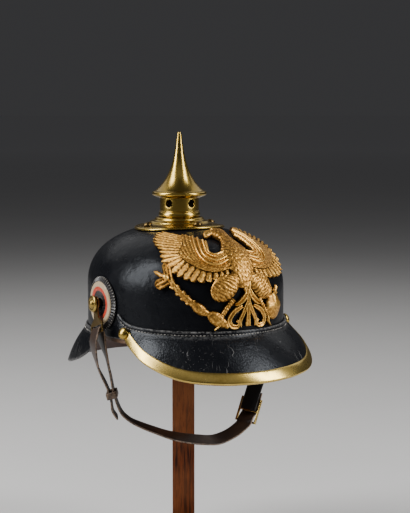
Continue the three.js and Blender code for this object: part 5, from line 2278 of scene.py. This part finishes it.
        sheet("arm", "tip", 0.94, 1.6, 0.8, 0.0)
        fringe, long = self.fringe_feathers, self.long_feathers
        marks = [0.5 * i / fringe for i in range(fringe)] + [0.5 + 0.5 * i / long for i in range(long + 1)]
        for i, (start, stop) in enumerate(zip(marks, marks[1:])):
            share = (start + stop) / 2
            spread = (lines["tip"].vector(stop) - lines["tip"].vector(start)).length
            uneven = (0.03 if i < fringe else 0.05) * math.sin(7.3 * i + sign)
            root, tip = between("middle", "tip", share, -0.25), between("middle", "tip", share, 1.04 + uneven)
            self.leaf(root, tip, 1.12 * spread, 1.1, 1.9 + 3 * uneven, 1.0, 0.2 * sign)
        sheet("inner", "middle", 1.0, 2.7, 2.5, 0.9)
        sheet("arm", "inner", 1.02, 3.0, 2.6, 0.5)
        for stretch, height, width in self.ribs:
            rows = [(*between("arm", "inner", i / 12, stretch), width, height) for i in range(13)]
            self.band(rows, 6, 60)
        for i in range(self.beads):
            spot = between("arm", "inner", mix(0.3, 0.97, i / (self.beads - 1)), 0.25)
            self.ball(spot.x, spot.y, self.bead_height, self.bead_radius)

    def ball(self, x: float, y: float, z: float, radius: float) -> None:
        """Set a bead on the plate."""
        self.blank.bead(Matrix.Translation((x, y, z)) @ Matrix.Scale(radius, 4), 6)

    def sided(self, rows: Sequence[Row], sign: int) -> list[Row]:
        """Rows as they are for the wearer's left, 1, or mirrored for the right, -1."""
        return [(sign * row[0], *row[1:]) for row in rows]

    def shifted(self, rows: Sequence[Row], shift: float) -> list[Row]:
        """Rows moved across."""
        return [(row[0] + shift, *row[1:]) for row in rows]

    def trunk(self) -> None:
        """Raise the feathered body, head, beak and eye."""

        def plumage(x: float, s: float) -> float:
            """Small uneven feathers of the breast."""
            return 0.85 * scales(x + 0.9 * math.sin(0.8 * s), -s + 0.6 * math.sin(1.1 * x), 4.2, 3.6)

        self.band(list(reversed(self.body)), 56, 120, detail=plumage)
        self.band(self.head, 30, 36, detail=lambda x, s: 0.8 * scales(x, s, 3.6, 2.8))
        self.band(self.beak, 12, 24)
        self.ball(*self.eye)

    def limbs(self) -> None:
        """Raise the thighs, legs and claws."""

        def rings(_: float, s: float) -> float:
            """Rings round a leg."""
            return 0.55 + 0.25 * math.cos(2 * math.pi * s / 2.6)

        for sign in (1, -1):

            def plumes(x: float, s: float) -> float:
                """Ridges across a thigh under a smooth outer rim.

                Args:
                    x: place across.
                    s: place along.

                Returns:
                    The height added there.
                """
                bend = s - 0.5 * sign * x + 0.5 * math.sin(0.6 * x + 0.3 * s)
                ridge = 0.5 + 0.5 * math.cos(2 * math.pi * bend / 2.7)
                return mix(0.25 + 0.5 * ridge, 0.85, max(ease(7.2, 8.2, sign * x), ease(27.5, 29.5, s)))

            thigh = self.sided(self.thigh, sign)
            self.band(self.shifted(thigh, self.thigh_shift), 44, 72, detail=plumes)
            self.band(self.sided(self.leg, sign), 10, 44, detail=rings)
            for lean in (-4.5, 0.0, 4.5):
                toe = [
                    (29, 17, 3.4, 3.6), (31 + 0.4 * lean, 14.5 + lean, 3.2, 4.4),
                    (34, 12.5 + 1.5 * lean, 1.6, 3),
                ]
                self.band(self.sided(toe, sign), 6, 12)

    def tail(self) -> None:
        """Raise the tail's stalk and its scrolls."""
        for table in (self.scroll, self.curl, self.frond):
            for sign in (1, -1):
                rows = self.shifted(self.sided(table, sign), self.tail_shift)
                self.band(rows, 10, 12 * len(table), Relief.GROOVED)
        self.band(self.shifted(self.stalk, self.tail_shift), 10, 60, Relief.GROOVED)

    def regalia(self) -> None:
        """Raise the sceptre with its finial, and the orb with its cross."""

        def leaves(x: float, s: float) -> float:
            """Overlapping leaves round the sceptre."""
            return 0.95 * scales(x + math.sin(0.4 * s), s + 0.5 * abs(x), 5.4, 5.0)

        def belts(x: float, s: float) -> float:
            """Crossed belts round the orb."""
            return mix(0.6, 1.1, max(ease(1.7, 1.1, abs(s - 13.5)), ease(1.6, 1.0, abs(x)) * (s > 13.5)))

        self.band(self.sceptre, 14, 130, detail=leaves)
        course = Course(self.sceptre)
        for i in range(self.sceptre_leaves):
            share, side = self.leaf_from + self.leaf_pitch * i, 1 if i % 2 else -1
            root = course.vector(share)
            run = Matrix.Rotation(0.55 * side, 2) @ course.heading(share)
            self.leaf(root, root + self.leaf_length * run, 4.0, 2.0, 3.6)
        for ax, ay, bx, by, width, ridges in self.finial:
            self.leaf(Vector((ax, ay)), Vector((bx, by)), width, 2.6, 2.4, ridges)
        for rows in self.cross:
            self.band(rows, 8, 16, Relief.RIDGED)
        self.ball(*self.finial_body)
        self.band(self.orb, 26, 40, detail=belts)

    def bent(self, point: Vector) -> Vector:
        """A point of the flat plate carried to the crown."""
        turn = -point.x / (CROWN.plate_radius * CROWN.meridian(point.y)[0])
        return CROWN.at(turn, point.y, self.gap + point.z)

    def build(self) -> None:
        """Lay the plate out flat, bend it and set it on the crown."""
        for sign in (1.0, -1.0):
            self.wing(sign)
        self.trunk()
        self.limbs()
        self.tail()
        self.regalia()
        self.blank.move(self.bent)
        self.blank.settle("eagle_gilt_plate", [EAGLE_GILT], Slot.GILT, ["eagle_plate"], crease=55.0)


# Stand and studio


@dataclass
class Stand:
    """The square wooden post and its foot."""

    post_round: float = 0.8
    foot_round: float = 2.5

    def build(self) -> None:
        """Round the edges of both boards."""
        dress_node("stand_post", "wood", POST_WOOD, Slot.WOOD, self.post_round)
        dress_node("stand_base", "wood", FOOT_WOOD, Slot.WOOD, self.foot_round)


@dataclass
class Studio:
    """Floor, soft lights and the camera at the photograph's angle."""

    azimuth: float = -31.0
    elevation: float = 6.0
    distance: float = 1.5
    target: Row = (0.0, 0.0075, 0.302)
    shift_right: float = 0.0255
    focal_pixels: float = 1500.0
    image_height: float = 513.0
    sensor: float = 36.0
    floor_radius: float = 40.0
    world: Colour = (0.04, 0.04, 0.042)
    boxes: Sequence[Row] = (
        (-75.0, 32.0, 1.5, 0.55, 1.5, 38.0),
        (70.0, 29.0, 1.5, 0.45, 1.4, 27.0),
        (0.0, 45.0, 2.2, 1.6, 0.9, 1.2),
        (-145.0, 40.0, 2.0, 1.3, 1.3, 4.0),
        (145.0, 40.0, 2.0, 1.3, 1.3, 4.0),
    )

    def toward(self, azimuth: float, elevation: float) -> Vector:
        """Direction from the object at an azimuth and elevation in degrees."""
        a, e = math.radians(azimuth), math.radians(elevation)
        return Vector((math.sin(a) * math.cos(e), -math.cos(a) * math.cos(e), math.sin(e)))

    def aim(self, thing: bpy.types.Object, spot: Vector, out: Vector) -> None:
        """Set a light or the camera at a spot, looking back along a direction.

        Args:
            thing: the light or camera.
            spot: where it stands.
            out: direction from the target to it.
        """
        thing.location = spot
        thing.rotation_mode = "QUATERNION"
        thing.rotation_quaternion = (-out).to_track_quat("-Z", "Y")

    def build_floor(self) -> None:
        """Lay the pale floor."""
        mesh = bmesh.new()
        bmesh.ops.create_circle(mesh, cap_ends=True, segments=96, radius=self.floor_radius)
        data = bpy.data.meshes.new("floor")
        mesh.to_mesh(data)
        mesh.free()
        data.materials.append(Plaster("floor_plaster").material())
        floor = placed("floor", data)

    def build_lights(self) -> None:
        """Hang the soft boxes, placed round the camera's direction, and dim the room."""
        for number, (turn, rise, away, width, height, power) in enumerate(self.boxes):
            light = bpy.data.lights.new(f"soft_box_{number}", "AREA")
            light.shape = "RECTANGLE"
            light.size, light.size_y = width, height
            light.energy = power
            out = self.toward(self.azimuth + turn, rise)
            self.aim(placed(light.name, light), Vector(self.target) + out * away, out)
        world = bpy.data.worlds.new("studio")
        world.use_nodes = True
        world.node_tree.nodes["Background"].inputs["Color"].default_value = (*self.world, 1.0)
        bpy.context.scene.world = world

    def build_camera(self) -> None:
        """Set the camera where the photograph was taken from."""
        out = self.toward(self.azimuth, self.elevation)
        a = math.radians(self.azimuth)
        right = Vector((math.cos(a), math.sin(a), 0.0))
        data = bpy.data.cameras.new("camera")
        data.sensor_width = self.sensor
        data.lens = self.sensor * self.focal_pixels / self.image_height
        camera = placed("camera", data)
        self.aim(camera, Vector(self.target) + right * self.shift_right + out * self.distance, out)
        bpy.context.scene.camera = camera

    def build(self) -> None:
        """Build the whole studio."""
        self.build_floor()
        self.build_lights()
        self.build_camera()


def main() -> None:
    """Build the studio and every piece of the helmet and its stand."""
    logging.basicConfig(level=logging.INFO, format="%(name)s %(message)s")
    Studio().build()
    Crown().build()
    front = Visor(
        "front_visor_leather", FRONT_VISOR_ROWS, middle=0.0, half=75.0, steps=150, spring=FRONT_VISOR_SPRING
    )
    front.build("front_visor")
    rear = Visor("rear_visor_leather", REAR_VISOR_ROWS, middle=180.0, half=88.0, steps=170)
    rear.build("rear_visor")
    VisorTrim(front).build()
    Spike().build()
    RearSpine().build()
    Eagle().build()
    SideFittings().build()
    ChinStrap().build()
    Stand().build()


if __name__ == "__main__":
    main()
